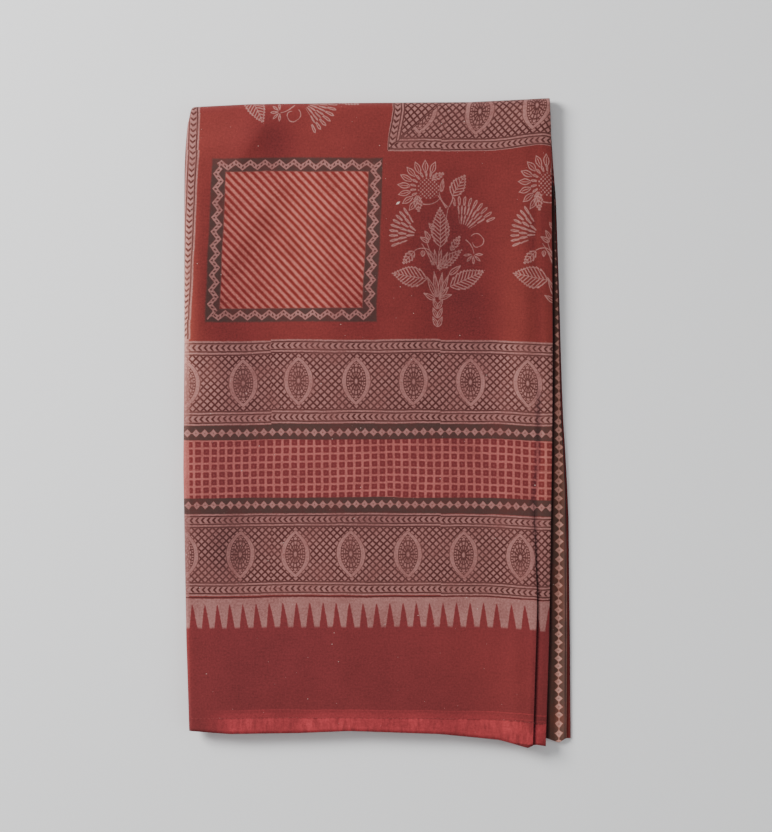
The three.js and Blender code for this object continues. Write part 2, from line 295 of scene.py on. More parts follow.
# The pleat's path from its lip round under itself: where a point lies when the cloth is flat
# and when it is folded, how many thicknesses up it is, and how far its face has turned.
PLEAT_PATH = [
    dict(flat=-0.0016, out=-0.00030, up=2.0, turned=0, open=1.0),
    dict(flat=-0.0013, out=-0.00014, up=1.86, turned=45, open=1.0),
    dict(flat=-0.0010, out=-0.00008, up=1.5, turned=90, open=1.0),
    dict(flat=-0.0007, out=-0.00014, up=1.14, turned=135, open=1.0),
    dict(flat=-0.0004, out=-0.00030, up=1.0, turned=180, open=1.0),
    dict(flat=-0.0001, out=-PLEAT_DEPTH, up=1.0, turned=180),
    dict(flat=0.0002, out=-PLEAT_DEPTH - 0.00022, up=0.5, turned=90),
    dict(flat=0.0004, out=-PLEAT_DEPTH, up=0.0, turned=0),
    dict(flat=0.0006, out=0.0006, up=0.0, turned=0),
]


def turn_radius(start, end):
    return abs(depth_of(start) - depth_of(end)) / 2


def run_inset(name):
    """How far short of its fold a run ends, where the turn takes over."""
    if name.startswith("loose"):
        return 0.0
    return (turn_radius(0, 5) if name == "outer_left" else turn_radius(0, 1)) + PLY / 2


def run_columns(step):
    """Columns along one run: each has a share of the run, or a point of the pleat."""
    count = step["steps"]
    if step["run"] != 0:
        shares = [i / count for i in range(count + 1)]
        if step.get("fine") == "end":
            shares[-1:] = [1 - share for share in TIP_SHARES] + [1.0]
        if step.get("fine") == "start":
            shares[:1] = [0.0] + list(TIP_SHARES[::-1])
        return [dict(step, share=share) for share in shares]
    main = count - STRIP_STEPS
    columns = [dict(step, part="main", share=i / main) for i in range(main)]
    columns += [dict(step, part="pleat", point=point) for point in PLEAT_PATH]
    columns += [dict(step, part="strip", share=(i + 1) / STRIP_STEPS) for i in range(STRIP_STEPS)]
    return columns


def turn_columns(step):
    return [dict(step, share=i / step["steps"]) for i in range(1, step["steps"])]


COLUMNS = [column for step in ROUTE for column in (
    turn_columns(step) if "turn" in step else run_columns(step))]


HEM_SHARES = (0.0, 0.006, 0.012, 0.018, 0.0205, 0.023, 0.0265)
EVEN_FROM = 0.035            # from this share of the front upward its rows are evenly spaced
ROW_STEPS = dict(front=124, turn=14, back=20, edge=5, back_inside=10, turn_inside=10, front_inside=28)


def cloth_rows():
    """Rows from the front hem over the top to the back's end, round it, and back inside."""
    shares = {name: [i / steps for i in range(steps + 1)] for name, steps in ROW_STEPS.items()}
    outward = [dict(half="front", along=along) for along in HEM_SHARES]
    outward += [dict(half="front", along=EVEN_FROM + (1 - EVEN_FROM) * share) for share in shares["front"]]
    outward += [dict(half="turn", along=1.0, angle=math.pi * share) for share in shares["turn"][1:-1]]
    outward += [dict(half="back", along=1 - share) for share in shares["back"][:-1]]
    outward += [dict(half="back", along=along) for along in END_SHARES[::-1]]
    rows = [dict(row, cloth=1, tuck=0.0) for row in outward]
    rows += [dict(half="back", along=0.0, cloth=1, tuck=math.pi * share) for share in shares["edge"][1:-1]]
    inward = [dict(half="back", along=along) for along in END_SHARES]
    inward += [dict(half="back", along=share) for share in shares["back_inside"][1:]]
    inward += [dict(half="turn", along=1.0, angle=math.pi * (1 - share))
               for share in shares["turn_inside"][1:-1]]
    inward += [dict(half="front", along=1 - share) for share in shares["front_inside"]]
    rows += [dict(row, cloth=2, tuck=math.pi) for row in inward]
    return [dict({"angle": math.pi if row["half"] == "back" else 0.0}, **row) for row in rows]


def lie_across(column, places, offset):
    """Where a column lies in one row: x, depth, level, and the print's place over the cloth."""
    if "turn" in column:
        radius = turn_radius(column["start"], column["end"])
        sign = 1 if column["turn"] == "left" else -1
        centre = places[column["at"]] + sign * (radius + PLY / 2)
        outside = column["at"] in ("outer_left", "outer_right", "inner_right")
        reach = radius + (offset if outside else -offset)
        turned = math.pi * column["share"]
        middle = (depth_of(column["start"]) + depth_of(column["end"])) / 2
        rising = 1 if depth_of(column["end"]) > depth_of(column["start"]) else -1
        x = centre - sign * reach * math.sin(turned)
        level = column["start"] if column["share"] < 0.5 else column["end"]
        return x, middle - rising * reach * math.cos(turned), level
    ends = [places[column[key]] + (1 if "left" in column[key] else -1) * run_inset(column[key])
            for key in ("start", "end")]
    sign = 1 if column["run"] in (0, 2, 4) else -1
    depth = depth_of(column["run"])
    if column["run"] != 0:
        x = ends[0] + column["share"] * (ends[1] - ends[0])
        return x, depth + sign * offset, column["run"]
    pleat, pleated = places["pleat"], places["pleated"]
    if column["part"] == "main":
        x = ends[0] + column["share"] * (pleat + PLEAT_PATH[0]["flat"] - ends[0])
        slope = max(0.0, 1 - (pleat - x) / PLEAT_REACH) ** 2
        return x, depth + offset + (2 * PLEAT_STEP + PLEAT_LIFT) * pleated * slope, 0
    if column["part"] == "strip":
        start = pleat + PLEAT_PATH[-1]["flat"]
        x = start + column["share"] * (ends[1] - start)
        return x, depth + offset, 0
    point = column["point"]
    turned = math.radians(point["turned"]) * pleated
    x = pleat + point["flat"] + (point["out"] - point["flat"]) * pleated
    lift = point["up"] * PLEAT_STEP + PLEAT_LIFT * point.get("open", 0.0)
    # The path's height is that of the outer thickness, so only the rest of the offset turns.
    outer = SPLIT if places["cloth"] == 1 else -SPLIT
    skin = offset - outer
    return (x + skin * math.sin(turned),
            depth + outer + skin * math.cos(turned) + lift * pleated, 0)


def crease_at(x, y):
    """The creases' rise at a place: short ridges, each with a steep side and a gentle one."""
    total = 0.0
    for crease in CREASES:
        start = Vector(crease["start"])
        line = Vector(crease["end"]) - start
        place = Vector((x, y)) - start
        share = place.dot(line) / line.length_squared
        if not -0.2 < share < 1.2:
            continue
        side = (line.x * place.y - line.y * place.x) / line.length
        if side > 0:
            slope = max(0.0, 1 - side / crease["steep"]) ** 2
        else:
            slope = math.exp(-(side / crease["gentle"]) ** 2)
        ends = soft_step(share, -0.2, 0.35) * soft_step(-share, -1.2, -0.65)
        total += crease["rise"] * slope * ends
    return total


def swell_at(x, y):
    return sum(swell["rise"] * math.exp(-((x - swell["x"]) / swell["across"]) ** 2
                                        - ((y - swell["y"]) / swell["along"]) ** 2)
               for swell in SWELLS)


def ripple_at(x, y):
    """The low waves that handled cotton keeps, a few tenths of a millimetre high."""
    broad = noise.noise(Vector((x * 14, y * 9, 0.3)))
    fine = noise.noise(Vector((x * 45, y * 30, 4.1)))
    return 0.00045 * broad + 0.00016 * fine


def lay(column, row, places, offset, tuck_offset):
    """A point of the cloth in the pile."""
    x, depth, level = lie_across(column, places, offset)
    y = height(row, x, level)
    if row["half"] == "front":
        lift = depth
        sag = RIGHT_SAG * soft_step(x, places["outer_right"] - RIGHT_SAG_WIDTH, places["outer_right"]) ** 2
        lift *= 1 - sag
        fade = min(1.0, max(0.0, (turn_height(x) - y) / SWELL_FADE))
        lift += swell_at(x, y) * (depth / OUT) * fade
        if level == 0 and row["cloth"] == 1:
            held = soft_step(abs(column["share"] - 0.5), 0.0, 0.5) if "turn" in column else 1.0
            lift += max(-TROUGH, crease_at(x, y) + ripple_at(x, y)) * fade * held
            above_edge = y - look(HEM_LINE, "x", x, "y")
            if tuck_offset > 0:
                lift += HEM_RISE * (1 - soft_step(above_edge, HEM_DEPTH * 0.9, HEM_DEPTH * 1.1))
        return Vector((x, y, OUT + lift))
    return Vector((x, y + depth * math.sin(row["angle"]) - tuck_offset * math.sin(row["tuck"]),
                   OUT + depth * math.cos(row["angle"])))


# The print's own measures start at the sheet's first long edge and at its hem.
PRINT_RIGHT = 0.5598         # adds to x on the front to give the way over the cloth
PRINT_UP = 0.3330            # adds to y
LEFT_LEAN = 0.0485           # at the left it leans to the right, from this height up
LEFT_LEAN_FROM = 0.125
LEAN_ENDS = (0.0062, 0.0102)     # the first prints lean and the next ones don't
RIGHT_LEAN = 0.0080          # these lean only near the top fold
RIGHT_LEAN_FROM = 0.294
RIGHT_LEAN_TO = 0.350
PRINT_DROOP = 0.0026         # it sinks at the right, and more so low down
RIGHT_RISE = 0.0070          # close to the top fold it rises there instead
LEFT_DROOP = 0.0012


def print_up(row, x, y):
    """How far over the cloth a point of the outer thickness is from its hem."""
    droop = PRINT_DROOP * soft_step(x, 0.112, 0.185) * (1 + 0.30 * soft_step(-y, 0.04, 0.16))
    droop *= 1 - soft_step(y, 0.12, 0.20)
    bump = soft_step(x, 0.118, 0.180) - 0.3 * soft_step(x, 0.178, 0.192)
    droop -= RIGHT_RISE * bump * soft_step(y, 0.190, 0.300)
    droop += LEFT_DROOP * soft_step(-x, 0.09, 0.17)
    turn = turn_height(x) + PRINT_UP
    if row["half"] == "front":
        return y + PRINT_UP + droop
    if row["half"] == "turn":
        return turn + droop + OUT * row["angle"]
    span = SHEET_LENGTH / 2 - turn - OUT * math.pi
    return turn + droop + OUT * math.pi + (span - droop) * (1 - row["along"])


def print_right(x, y):
    left = LEFT_LEAN * max(0.0, y - LEFT_LEAN_FROM)
    right = RIGHT_LEAN * soft_step(y, RIGHT_LEAN_FROM, RIGHT_LEAN_TO)
    return x + PRINT_RIGHT - left - (right - left) * soft_step(x, *LEAN_ENDS)


def print_place(column, row, places):
    """The place of a point over the flat cloth, the same for both of its faces."""
    x, _, level = lie_across(column, places, SPLIT if row["cloth"] == 1 else -SPLIT)
    y = height(row, x, level)
    front_start = places["outer_left"] + run_inset("outer_left")
    front_end = places["outer_right"] - run_inset("outer_right")
    hidden = 2 * PLEAT_DEPTH * places["pleated"]
    arc = math.pi * (turn_radius(0, 5) + SPLIT)
    first = print_right(front_start, y)
    last = print_right(front_end, y) + hidden
    drop = 0.0
    if column.get("run") == 0:
        right = print_right(x, y)
        if column["part"] == "strip":
            right, drop = right + hidden, PLEAT_DROP * places["pleated"]
        if column["part"] == "pleat":
            passed = PLEAT_PATH.index(column["point"]) / (len(PLEAT_PATH) - 1)
            flat_end = places["pleat"] + PLEAT_PATH[-1]["flat"]
            start = print_right(places["pleat"] + PLEAT_PATH[0]["flat"], y)
            right = start + passed * (print_right(flat_end, y) + hidden - start)
            drop = PLEAT_DROP * places["pleated"] * passed
    elif column.get("turn") and column["at"] == "outer_left":
        right = first - arc * (1 - column["share"])
    elif column.get("turn") and column["at"] == "outer_right":
        right = last + math.pi * turn_radius(0, 1) * column["share"]
        drop = PLEAT_DROP * places["pleated"] * (1 - column["share"])
    elif column.get("run") == 5:
        right = column["share"] * (first - arc)
    else:
        half_turn = math.pi * turn_radius(0, 1) / 2
        marks = {"outer_right": last + 2 * half_turn, "inner_left": FOLDS["inner_left"],
                 "inner_right": places["inner_right_mark"], "last_left": FOLDS["last_left"],
                 "loose_sixth": SHEET_WIDTH}
        if "turn" in column:
            right = marks[column["at"]] + half_turn * (2 * column["share"] - 1)
        else:
            start = marks[column["start"]] + (half_turn if column["start"] != "outer_right" else 0)
            end = marks[column["end"]] - (half_turn if column["end"] != "loose_sixth" else 0)
            right = start + column["share"] * (end - start)
    up = print_up(row, x, y) + drop
    if row["tuck"] not in (0.0, math.pi):
        up = SHEET_LENGTH / 2
    return right, (up if row["cloth"] == 1 else SHEET_LENGTH - up)


def strip_column(column):
    """Whether a column lies in the fold that shows at the right, with its lozenges."""
    fine = column.get("fine") == "end" and column["share"] > 0.9
    fine = fine or (column.get("fine") == "start" and column["share"] < 0.1)
    return fine or column.get("at") == "inner_right"


def painted_light_shade_and_dye_at(column, row, place, places):
    """How much lighter or darker a place is painted: painted shade and light at the pleat, the folds and
    the lozenge strip, and over the front patches of painted light, painted shade and uneven dye.
    """
    # Painted shade on the back's outer right fold, above its lowest part.
    if row["half"] == "back" and column.get("at") == "outer_right":
        return BACK_FOLD_PAINTED_SHADE * soft_step(place.y, -0.315, -0.285)
    if row["half"] == "back" and strip_column(column):
        # The strip's fold: painted shade, with a painted highlight low down.
        if column.get("at") == "inner_right":
            return STRIP_SHADE + FOLD_RIM_PAINTED_HIGHLIGHT * soft_step(-place.y, 0.10, 0.17)
        # The strip: painted shadow close by the front's edge, painted light over the lozenges.
        past_front = place.x - look(FRONT_OUTLINE, "y", place.y, "right")
        strip_lit_share = soft_step(past_front, *STRIP_PAINTED_LIGHT_SPAN["left"])
        strip_lit_share *= 1 - soft_step(place.x - LOZENGES_AT, *STRIP_PAINTED_LIGHT_SPAN["right"])
        return STRIP_SHADE + (STRIP_PAINTED_LIGHT - STRIP_SHADE) * strip_lit_share
    if row["half"] != "front" or row["cloth"] != 1:
        return 0.0
    # Painted shade beside and inside the pleat as it folds, and painted shade of the soft crease above it.
    beside = BESIDE_PLEAT_PAINTED_SHADE * places["pleated"] if column.get("part") == "strip" else 0.0
    if column.get("part") == "pleat":
        creased = soft_step(-place.y, -CREASE_TOP, -CREASE_FULL) * (1 - places["pleated"])
        folded = soft_step(PLEAT_PATH.index(column["point"]), 2, 5) * places["pleated"]
        return CREASE_PAINTED_SHADE * creased + PLEAT_PAINTED_SHADE * folded
    if column.get("run") != 0 and column.get("at") not in ("outer_left", "outer_right"):
        return 0.0
    # Patches of painted light, painted shade and uneven dye over the front.
    return beside + sum(painted_light_shade_and_dye["less"] * math.exp(-((place.x - painted_light_shade_and_dye["x"]) / painted_light_shade_and_dye["across"]) ** 2
                                                - ((place.y - painted_light_shade_and_dye["y"]) / painted_light_shade_and_dye["along"]) ** 2)
                        for painted_light_shade_and_dye in PAINTED_LIGHT_SHADE_AND_DYE_PATCHES)


# A second map lays the whole cloth out flat for finishes that are kept as pictures. It gives most
# room to what is seen: the front, then the back, and the lozenges at the right in a strip alone.
MAP_EDGE = 0.008
MAP_RIGHT = 0.944
STRIP_LEFT = 0.952
STRIP_HIGH = 0.640
UNSEEN = 0.08
BACK_ROOM = 0.33
LEAST_ROOM = 0.00005         # added to each step, so that none is empty
EDGE_ROOM = 0.7              # the cloth's edges lie this share of the margin outside


def map_steps(lengths, low, high):
    """Places from low to high, set apart in the ratio of the lengths."""
    whole = sum(lengths)
    places = [low]
    for length in lengths:
        places.append(places[-1] + (high - low) * length / whole)
    return places


def map_room(rows, vertices):
    """Where each column and row lies on the second map, and in its strip."""
    width, middle = len(COLUMNS), 60     # the sixtieth column and row stand for the rest
    across = []
    for i, column in enumerate(COLUMNS[:-1]):
        wide = (vertices[middle * width + i + 1] - vertices[middle * width + i]).length + LEAST_ROOM
        seen = column.get("run") == 0 or column.get("at") in ("outer_left", "outer_right")
        across.append(wide if seen else wide * UNSEEN)
    along = []
    for j, row in enumerate(rows[:-1]):
        tall = (vertices[(j + 1) * width + middle] - vertices[j * width + middle]).length + LEAST_ROOM
        room = BACK_ROOM if row["half"] == "back" else 1.0
        along.append(tall * (room if row["cloth"] == 1 else UNSEEN))
    strip = [i for i in range(width - 1) if strip_column(COLUMNS[i]) and strip_column(COLUMNS[i + 1])]
    back = [j for j, row in enumerate(rows[:-1]) if row["half"] == "back" and row["cloth"] == 1]
    return {
        "u": map_steps(across, MAP_EDGE, MAP_RIGHT),
        "v": map_steps(along, MAP_EDGE, 1 - MAP_EDGE),
        "strip_u": dict(zip(range(strip[0], strip[-1] + 2),
                            map_steps([across[i] for i in strip], STRIP_LEFT, 1 - MAP_EDGE))),
        "strip_v": dict(zip(range(back[0], back[-1] + 2),
                            map_steps([along[j] for j in back], MAP_EDGE, STRIP_HIGH))),
    }


def weave_sheet():
    """The cloth as one closed skin: a printed face and a reverse, joined round the four edges."""
    rows = cloth_rows()
    vertices, prints, painted_light_shade_and_dye_values = [], [], []
    for face in (1, -1):
        for row in rows:
            places = fold_places(row)
            places["cloth"] = row["cloth"]
            out = SPLIT + face * COTTON / 2
            for column in COLUMNS:
                place = lay(column, row, places, out * math.cos(row["tuck"]), out)
                vertices.append(place)
                prints.append(print_place(column, row, places))
                painted_light_shade_and_dye_values.append(painted_light_shade_and_dye_at(column, row, place, places))
    width, length = len(COLUMNS), len(rows)
    under = width * length
    room = map_room(rows, vertices)
    faces, spots = [], []
    for face in (0, 1):
        for j in range(length - 1):
            for i in range(width - 1):
                a = face * under + j * width + i
                quad = (a, a + 1, a + 1 + width, a + width)
                alone = {i, i + 1} <= room["strip_u"].keys() and {j, j + 1} <= room["strip_v"].keys()
                u, v = (room["strip_u"], room["strip_v"]) if alone else (room["u"], room["v"])
                spot = ((u[i], v[j]), (u[i + 1], v[j]), (u[i + 1], v[j + 1]), (u[i], v[j + 1]))
                faces.append(quad if face == 0 else quad[::-1])
                spots.extend(spot if face == 0 else spot[::-1])
    edge = [j * width for j in range(length - 1, 0, -1)]
    edge += [i for i in range(width - 1)]
    edge += [j * width + width - 1 for j in range(length - 1)]
    edge += [(length - 1) * width + i for i in range(width - 1, 0, -1)]
    for a, b in zip(edge, edge[1:] + edge[:1]):
        faces.append((b, a, a + under, b + under))
        near_a = (room["u"][a % width], room["v"][a // width])
        near_b = (room["u"][b % width], room["v"][b // width])
        side = 0 if near_a[0] == near_b[0] else 1
        away = MAP_EDGE * (-EDGE_ROOM if near_a[side] < 0.5 else EDGE_ROOM)
        far_a, far_b = list(near_a), list(near_b)
        far_a[side] += away
        far_b[side] += away
        spots.extend((near_b, near_a, far_a, far_b))
    mesh = bpy.data.meshes.new("folded_sheet")
    mesh.from_pydata(vertices, [], faces)
    cloth_map = mesh.uv_layers.new(name="cloth")
    for loop in mesh.loops:
        cloth_map.data[loop.index].uv = prints[loop.vertex_index]
    flat_map = mesh.uv_layers.new(name="OFBake")
    flat_map.data.foreach_set("uv", [part for spot in spots for part in spot])
    painted_light_shade_and_dye_layer = mesh.attributes.new("painted_light_shade_and_dye", "FLOAT", "POINT")
    painted_light_shade_and_dye_layer.data.foreach_set("value", painted_light_shade_and_dye_values)
    mesh.polygons.foreach_set("use_smooth", [True] * len(mesh.polygons))
    mesh.validate()
    return mesh


sheet = bpy.data.objects.new("folded_sheet", weave_sheet())
bpy.context.scene.collection.objects.link(sheet)

low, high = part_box("bed_sheet")
corners = [Vector(vertex.co) for vertex in sheet.data.vertices]
mesh_low = Vector([min(corner[axis] for corner in corners) for axis in range(3)])
mesh_high = Vector([max(corner[axis] for corner in corners) for axis in range(3)])
shift = (Vector(low) + Vector(high)) / 2 - (mesh_low + mesh_high) / 2
shift.z = low[2] - mesh_low.z
for vertex in sheet.data.vertices:
    vertex.co += shift

cotton = bpy.data.materials.new("printed_cotton")
cotton.use_nodes = True
sheet.data.materials.append(cotton)


# The dyer's tools
# The cloth is dyed red and printed by hand with carved wooden blocks. Each block is a small tree
# of shader nodes that tells, at a place under the block, how much pale or dark print it leaves.

COTTON_MAP = "cloth"
INK_EDGE = 0.0008            # the print bleeds this far into the threads
SHARP = 0.00001


class Amount:
    """A quantity that varies over the cloth: the output of a shader node, with arithmetic."""

    def __init__(self, socket):
        self.socket = socket

    def __add__(self, other):
        return reckon("ADD", self, other)

    __radd__ = __add__

    def __sub__(self, other):
        return reckon("SUBTRACT", self, other)

    def __rsub__(self, other):
        return reckon("SUBTRACT", other, self)

    def __mul__(self, other):
        return reckon("MULTIPLY", self, other)

    __rmul__ = __mul__

    def __truediv__(self, other):
        return reckon("DIVIDE", self, other)

    def __pow__(self, other):
        return reckon("POWER", self, other)

    def __abs__(self):
        return reckon("ABSOLUTE", self)


def join(tree, term, socket):
    if isinstance(term, Amount):
        tree.links.new(term.socket, socket)
    else:
        socket.default_value = term


def reckon(operation, *terms):
    tree = next(term.socket.id_data for term in terms if isinstance(term, Amount))
    step = tree.nodes.new("ShaderNodeMath")
    step.operation = operation
    for place, term in enumerate(terms):
        join(tree, term, step.inputs[place])
    return Amount(step.outputs[0])


def share_of(value, slope, start):
    """A straight slope, held between nothing and one."""
    sloped = reckon("MULTIPLY_ADD", value, slope, start).socket
    hold = sloped.id_data.nodes.new("ShaderNodeClamp")
    sloped.id_data.links.new(sloped, hold.inputs[0])
    return Amount(hold.outputs[0])


def below(value, limit, blur=INK_EDGE):
    if isinstance(limit, Amount):
        return share_of(limit - value, 1 / blur, 0.5)
    return share_of(value, -1 / blur, limit / blur + 0.5)


def above(value, limit, blur=INK_EDGE):
    return share_of(value, 1 / blur, 0.5 - limit / blur)


def near(value, centre, reach, blur=INK_EDGE):
    return below(abs(value - centre), reach, blur)


def least(first, second):
    return reckon("MINIMUM", first, second)


def most(*amounts):
    greatest = amounts[0]
    for amount in amounts[1:]:
        greatest = reckon("MAXIMUM", greatest, amount)
    return greatest


def blend(start, end, share):
    """From start to end as the share goes from nothing to one."""
    return start + (end - start) * share


def repeat(value, pitch):
    """The place within one repeat, counted from its middle."""
    return reckon("WRAP", value, pitch / 2, -pitch / 2)


def to_and_fro(value, reach):
    return reckon("PINGPONG", value, reach)


def bands(value, stops):
    """Plain bands across a value: each stop gives the amount from its place to the next one."""
    start, end = stops[0]["at"], stops[-1]["at"]
    share = (value - start) / (end - start)
    ramp = share.socket.id_data.nodes.new("ShaderNodeValToRGB")
    ramp.color_ramp.interpolation = "CONSTANT"
    for place, stop in enumerate(stops):
        at = (stop["at"] - start) / (end - start)
        element = ramp.color_ramp.elements[place] if place < 2 else ramp.color_ramp.elements.new(at)
        element.position = at
        element.color = (stop["dark"], stop["dark"], stop["dark"], 1)
    share.socket.id_data.links.new(share.socket, ramp.inputs[0])
    return Amount(ramp.outputs[0])


def cut_block(name, *inputs):
    """A new block, and what it is told about the place under it."""
    block = bpy.data.node_groups.new(name, "ShaderNodeTree")
    for label in inputs:
        block.interface.new_socket(label, in_out="INPUT", socket_type="NodeSocketFloat")
    entry = block.nodes.new("NodeGroupInput")
    return block, [Amount(entry.outputs[label]) for label in inputs]


def close_block(block, **prints):
    for label in prints:
        block.interface.new_socket(label, in_out="OUTPUT", socket_type="NodeSocketFloat")
    way_out = block.nodes.new("NodeGroupOutput")
    for label, amount in prints.items():
        block.links.new(amount.socket, way_out.inputs[label])


def stamp(block, *places):
    """Print with a block: the amounts it leaves."""
    tree = places[0].socket.id_data
    hand = tree.nodes.new("ShaderNodeGroup")
    hand.node_tree = block
    for place, socket in zip(places, hand.inputs):
        tree.links.new(place.socket, socket)
    return [Amount(socket) for socket in hand.outputs]


# The lattice block
# A wide block of crossing lines with pointed ovals, between two rows of arrowheads. It prints
# dark lines on a pale ground, and its ends meet the next print with a small step.

LATTICE_HALF = 0.0437
LATTICE_LINES = [dict(off=0.0412, wide=0.0016), dict(off=0.0330, wide=0.0015),
                 dict(off=0.0297, wide=0.0015)]
ARROW_ROW = 0.0371
ARROW_REACH = 0.0030
ARROW_PITCH = 0.0061
ARROW_STROKE = 0.0026
ARROW_SLANT = 0.9
MESH_HALF = 0.0292
MESH_ALONG = 0.0077
MESH_ACROSS = 0.00745
MESH_LINE = 0.17             # half of a line, as a share of the pitch
MESH_BLUR = 0.13
OVAL_PITCH = 0.0613
OVAL_HALF_WIDTH = 0.0153
OVAL_HALF_HEIGHT = 0.0253
OVAL_RINGS = [
    dict(at=-0.0300, dark=0), dict(at=-0.0008, dark=1), dict(at=0.0, dark=0),
    dict(at=0.0044, dark=1), dict(at=0.0051, dark=0), dict(at=0.0070, dark=1),
    dict(at=0.0076, dark=0), dict(at=0.0300, dark=0),
]
OVAL_BOW = 2.25
OVAL_DASHES = dict(inset=0.0060, reach=0.0010, pitch=0.0029)
PETALS = 14                  # in the flower that fills an oval
PETAL_GAP = 0.0006
PETAL_RING = 0.0029
FLOWER_SQUASH = 0.6          # the flower is taller than it is wide
PETALS_FROM = 0.0016
RINGS_FROM = 0.0022

lattice_block, (along, off, arrow_along, plain) = cut_block(
    "lattice_block", "Along", "Off", "Arrows", "Plain")
spread = abs(off)
lines = most(*[near(spread, line["off"], line["wide"] / 2) for line in LATTICE_LINES])
from_row = abs(spread - ARROW_ROW)
arrows = near(repeat(arrow_along - from_row * ARROW_SLANT, ARROW_PITCH), 0.0, ARROW_STROKE / 2)
arrows = arrows * below(from_row, ARROW_REACH)
mesh_lines = most(*[below(to_and_fro(slope, 0.5), MESH_LINE, MESH_BLUR) for slope in (
    along / MESH_ALONG + off / MESH_ACROSS, along / MESH_ALONG - off / MESH_ACROSS)])
oval_along = repeat(along, OVAL_PITCH)
bow = (spread / OVAL_HALF_HEIGHT) ** OVAL_BOW
inset = OVAL_HALF_WIDTH - bow * OVAL_HALF_WIDTH - abs(oval_along)
rings = bands(inset, OVAL_RINGS)
dashes = near(inset, OVAL_DASHES["inset"], OVAL_DASHES["reach"])
dashes = dashes * below(to_and_fro(off, OVAL_DASHES["pitch"] / 2), OVAL_DASHES["pitch"] / 4)
heart = above(inset, OVAL_RINGS[-2]["at"])
heart_off = off * FLOWER_SQUASH
heart_radius = reckon("SQRT", oval_along * oval_along + heart_off * heart_off)
petal_turn = repeat(reckon("ARCTAN2", heart_off, oval_along), 2 * math.pi / PETALS)
petal_gaps = below(abs(petal_turn) * heart_radius, PETAL_GAP) * above(heart_radius, PETALS_FROM)
petal_rings = near(repeat(heart_radius, PETAL_RING), 0.0, PETAL_GAP * 0.8)
petal_rings = petal_rings * above(heart_radius, RINGS_FROM)
oval = most(rings, dashes, most(petal_gaps, petal_rings) * heart)
in_oval = above(inset, OVAL_RINGS[1]["at"]) * (1 - plain)
filling = blend(mesh_lines, oval, in_oval) * below(spread, MESH_HALF)
close_block(lattice_block, dark=most(lines, arrows, filling))


# The lozenge strip
# A narrow block of pale lozenges, set point to point, left bare in a dark ground.

STRIP_CENTRE = 0.0393        # from the middle of the check band
LOZENGE_PITCH = 0.0091
LOZENGE_HALF_LENGTH = 0.0040
LOZENGE_HALF_HEIGHT = 0.0044
LOZENGE_THREAD = 0.0005
LOZENGE_EYE = 0.26           # the darker middle, as a share of the lozenge
LOZENGE_BLUR = 0.2

lozenge_block, (along, off) = cut_block("lozenge_block", "Along", "Off")
reach = abs(repeat(along, LOZENGE_PITCH)) / LOZENGE_HALF_LENGTH + abs(off) / LOZENGE_HALF_HEIGHT
bare = most(below(reach, 1.0, LOZENGE_BLUR), near(off, 0.0, LOZENGE_THREAD) * 0.9)
close_block(lozenge_block, pale=bare - below(reach, LOZENGE_EYE, LOZENGE_BLUR) * 0.35)


# The check band
# A block of crossing pale lines that leaves eight rows of small red squares.

CHECK_HALF = 0.0318
CHECK_ALONG = 0.00865
CHECK_ACROSS = 0.0083
CHECK_LINE_ALONG = 0.0025
CHECK_LINE_ACROSS = 0.0021
CHECK_EYE = (0.0029, 0.0007)     # a paler spot in each square: from the line, and its reach

check_block, (along, off) = cut_block("check_block", "Along", "Off")
upright = abs(repeat(along, CHECK_ALONG)) - CHECK_LINE_ALONG / 2
level_line = abs(repeat(off, CHECK_ACROSS)) - CHECK_LINE_ACROSS / 2
rounded = least(upright, level_line) + 0.5 * least(abs(upright - level_line), 0.0006) - 0.0003
square_middle = near(upright, *CHECK_EYE) * near(level_line, *CHECK_EYE)
close_block(check_block, pale=most(below(rounded, 0.0, 0.0007), square_middle * 0.22))


# The comb of teeth
# A block of long teeth, pale at the root, with red showing between them like spikes.

TEETH_ROOT = 0.1380          # from the hem
TEETH_END = 0.1126
TEETH_TOP = 0.1445
TOOTH_PITCH = 0.0144
GAP_TIP = 0.0003
GAP_FOOT = 0.0042
TEETH_BLUR = 0.0024
TEETH_LINE = (0.1455, 0.0007)

teeth_block, (along, up) = cut_block("teeth_block", "Along", "Up")
fall = share_of(up, -1 / (TEETH_ROOT - TEETH_END), TEETH_ROOT / (TEETH_ROOT - TEETH_END))
gap = abs(repeat(along - fall * 0.0010, TOOTH_PITCH))
gap_half = (fall ** 0.8) * GAP_FOOT + GAP_TIP
teeth = above(gap - gap_half, 0.0) * above(up, TEETH_END, TEETH_BLUR)
teeth = most(teeth, above(up, TEETH_ROOT)) * below(up, TEETH_TOP)
close_block(teeth_block, pale=teeth, dark=near(up, *TEETH_LINE))


# The corner square
# A square block of slanting stripes in a dark frame with a zigzag ribbon of dots.

SQUARE_CENTRE = (0.4664, 0.5308)
SQUARE_HALF = (0.0926, 0.0885)
SQUARE_FRAME = 0.015
SIDE_FRAME = 0.0158          # the frame is a little wider at its sides
ZIGZAG_PITCH = 0.0157
ZIGZAG_REACH = 0.0030
ZIGZAG_LAG = dict(left=0.0023, bottom=-0.0036)
RIBBON_HALF = 0.0029
DOT_PITCH = 0.0039
DOT_RADIUS = 0.0011
STRIPE_ACROSS = 0.00861
STRIPE_UP = 0.00873
STRIPE_START = 0.255
STRIPE_DARK = 0.45

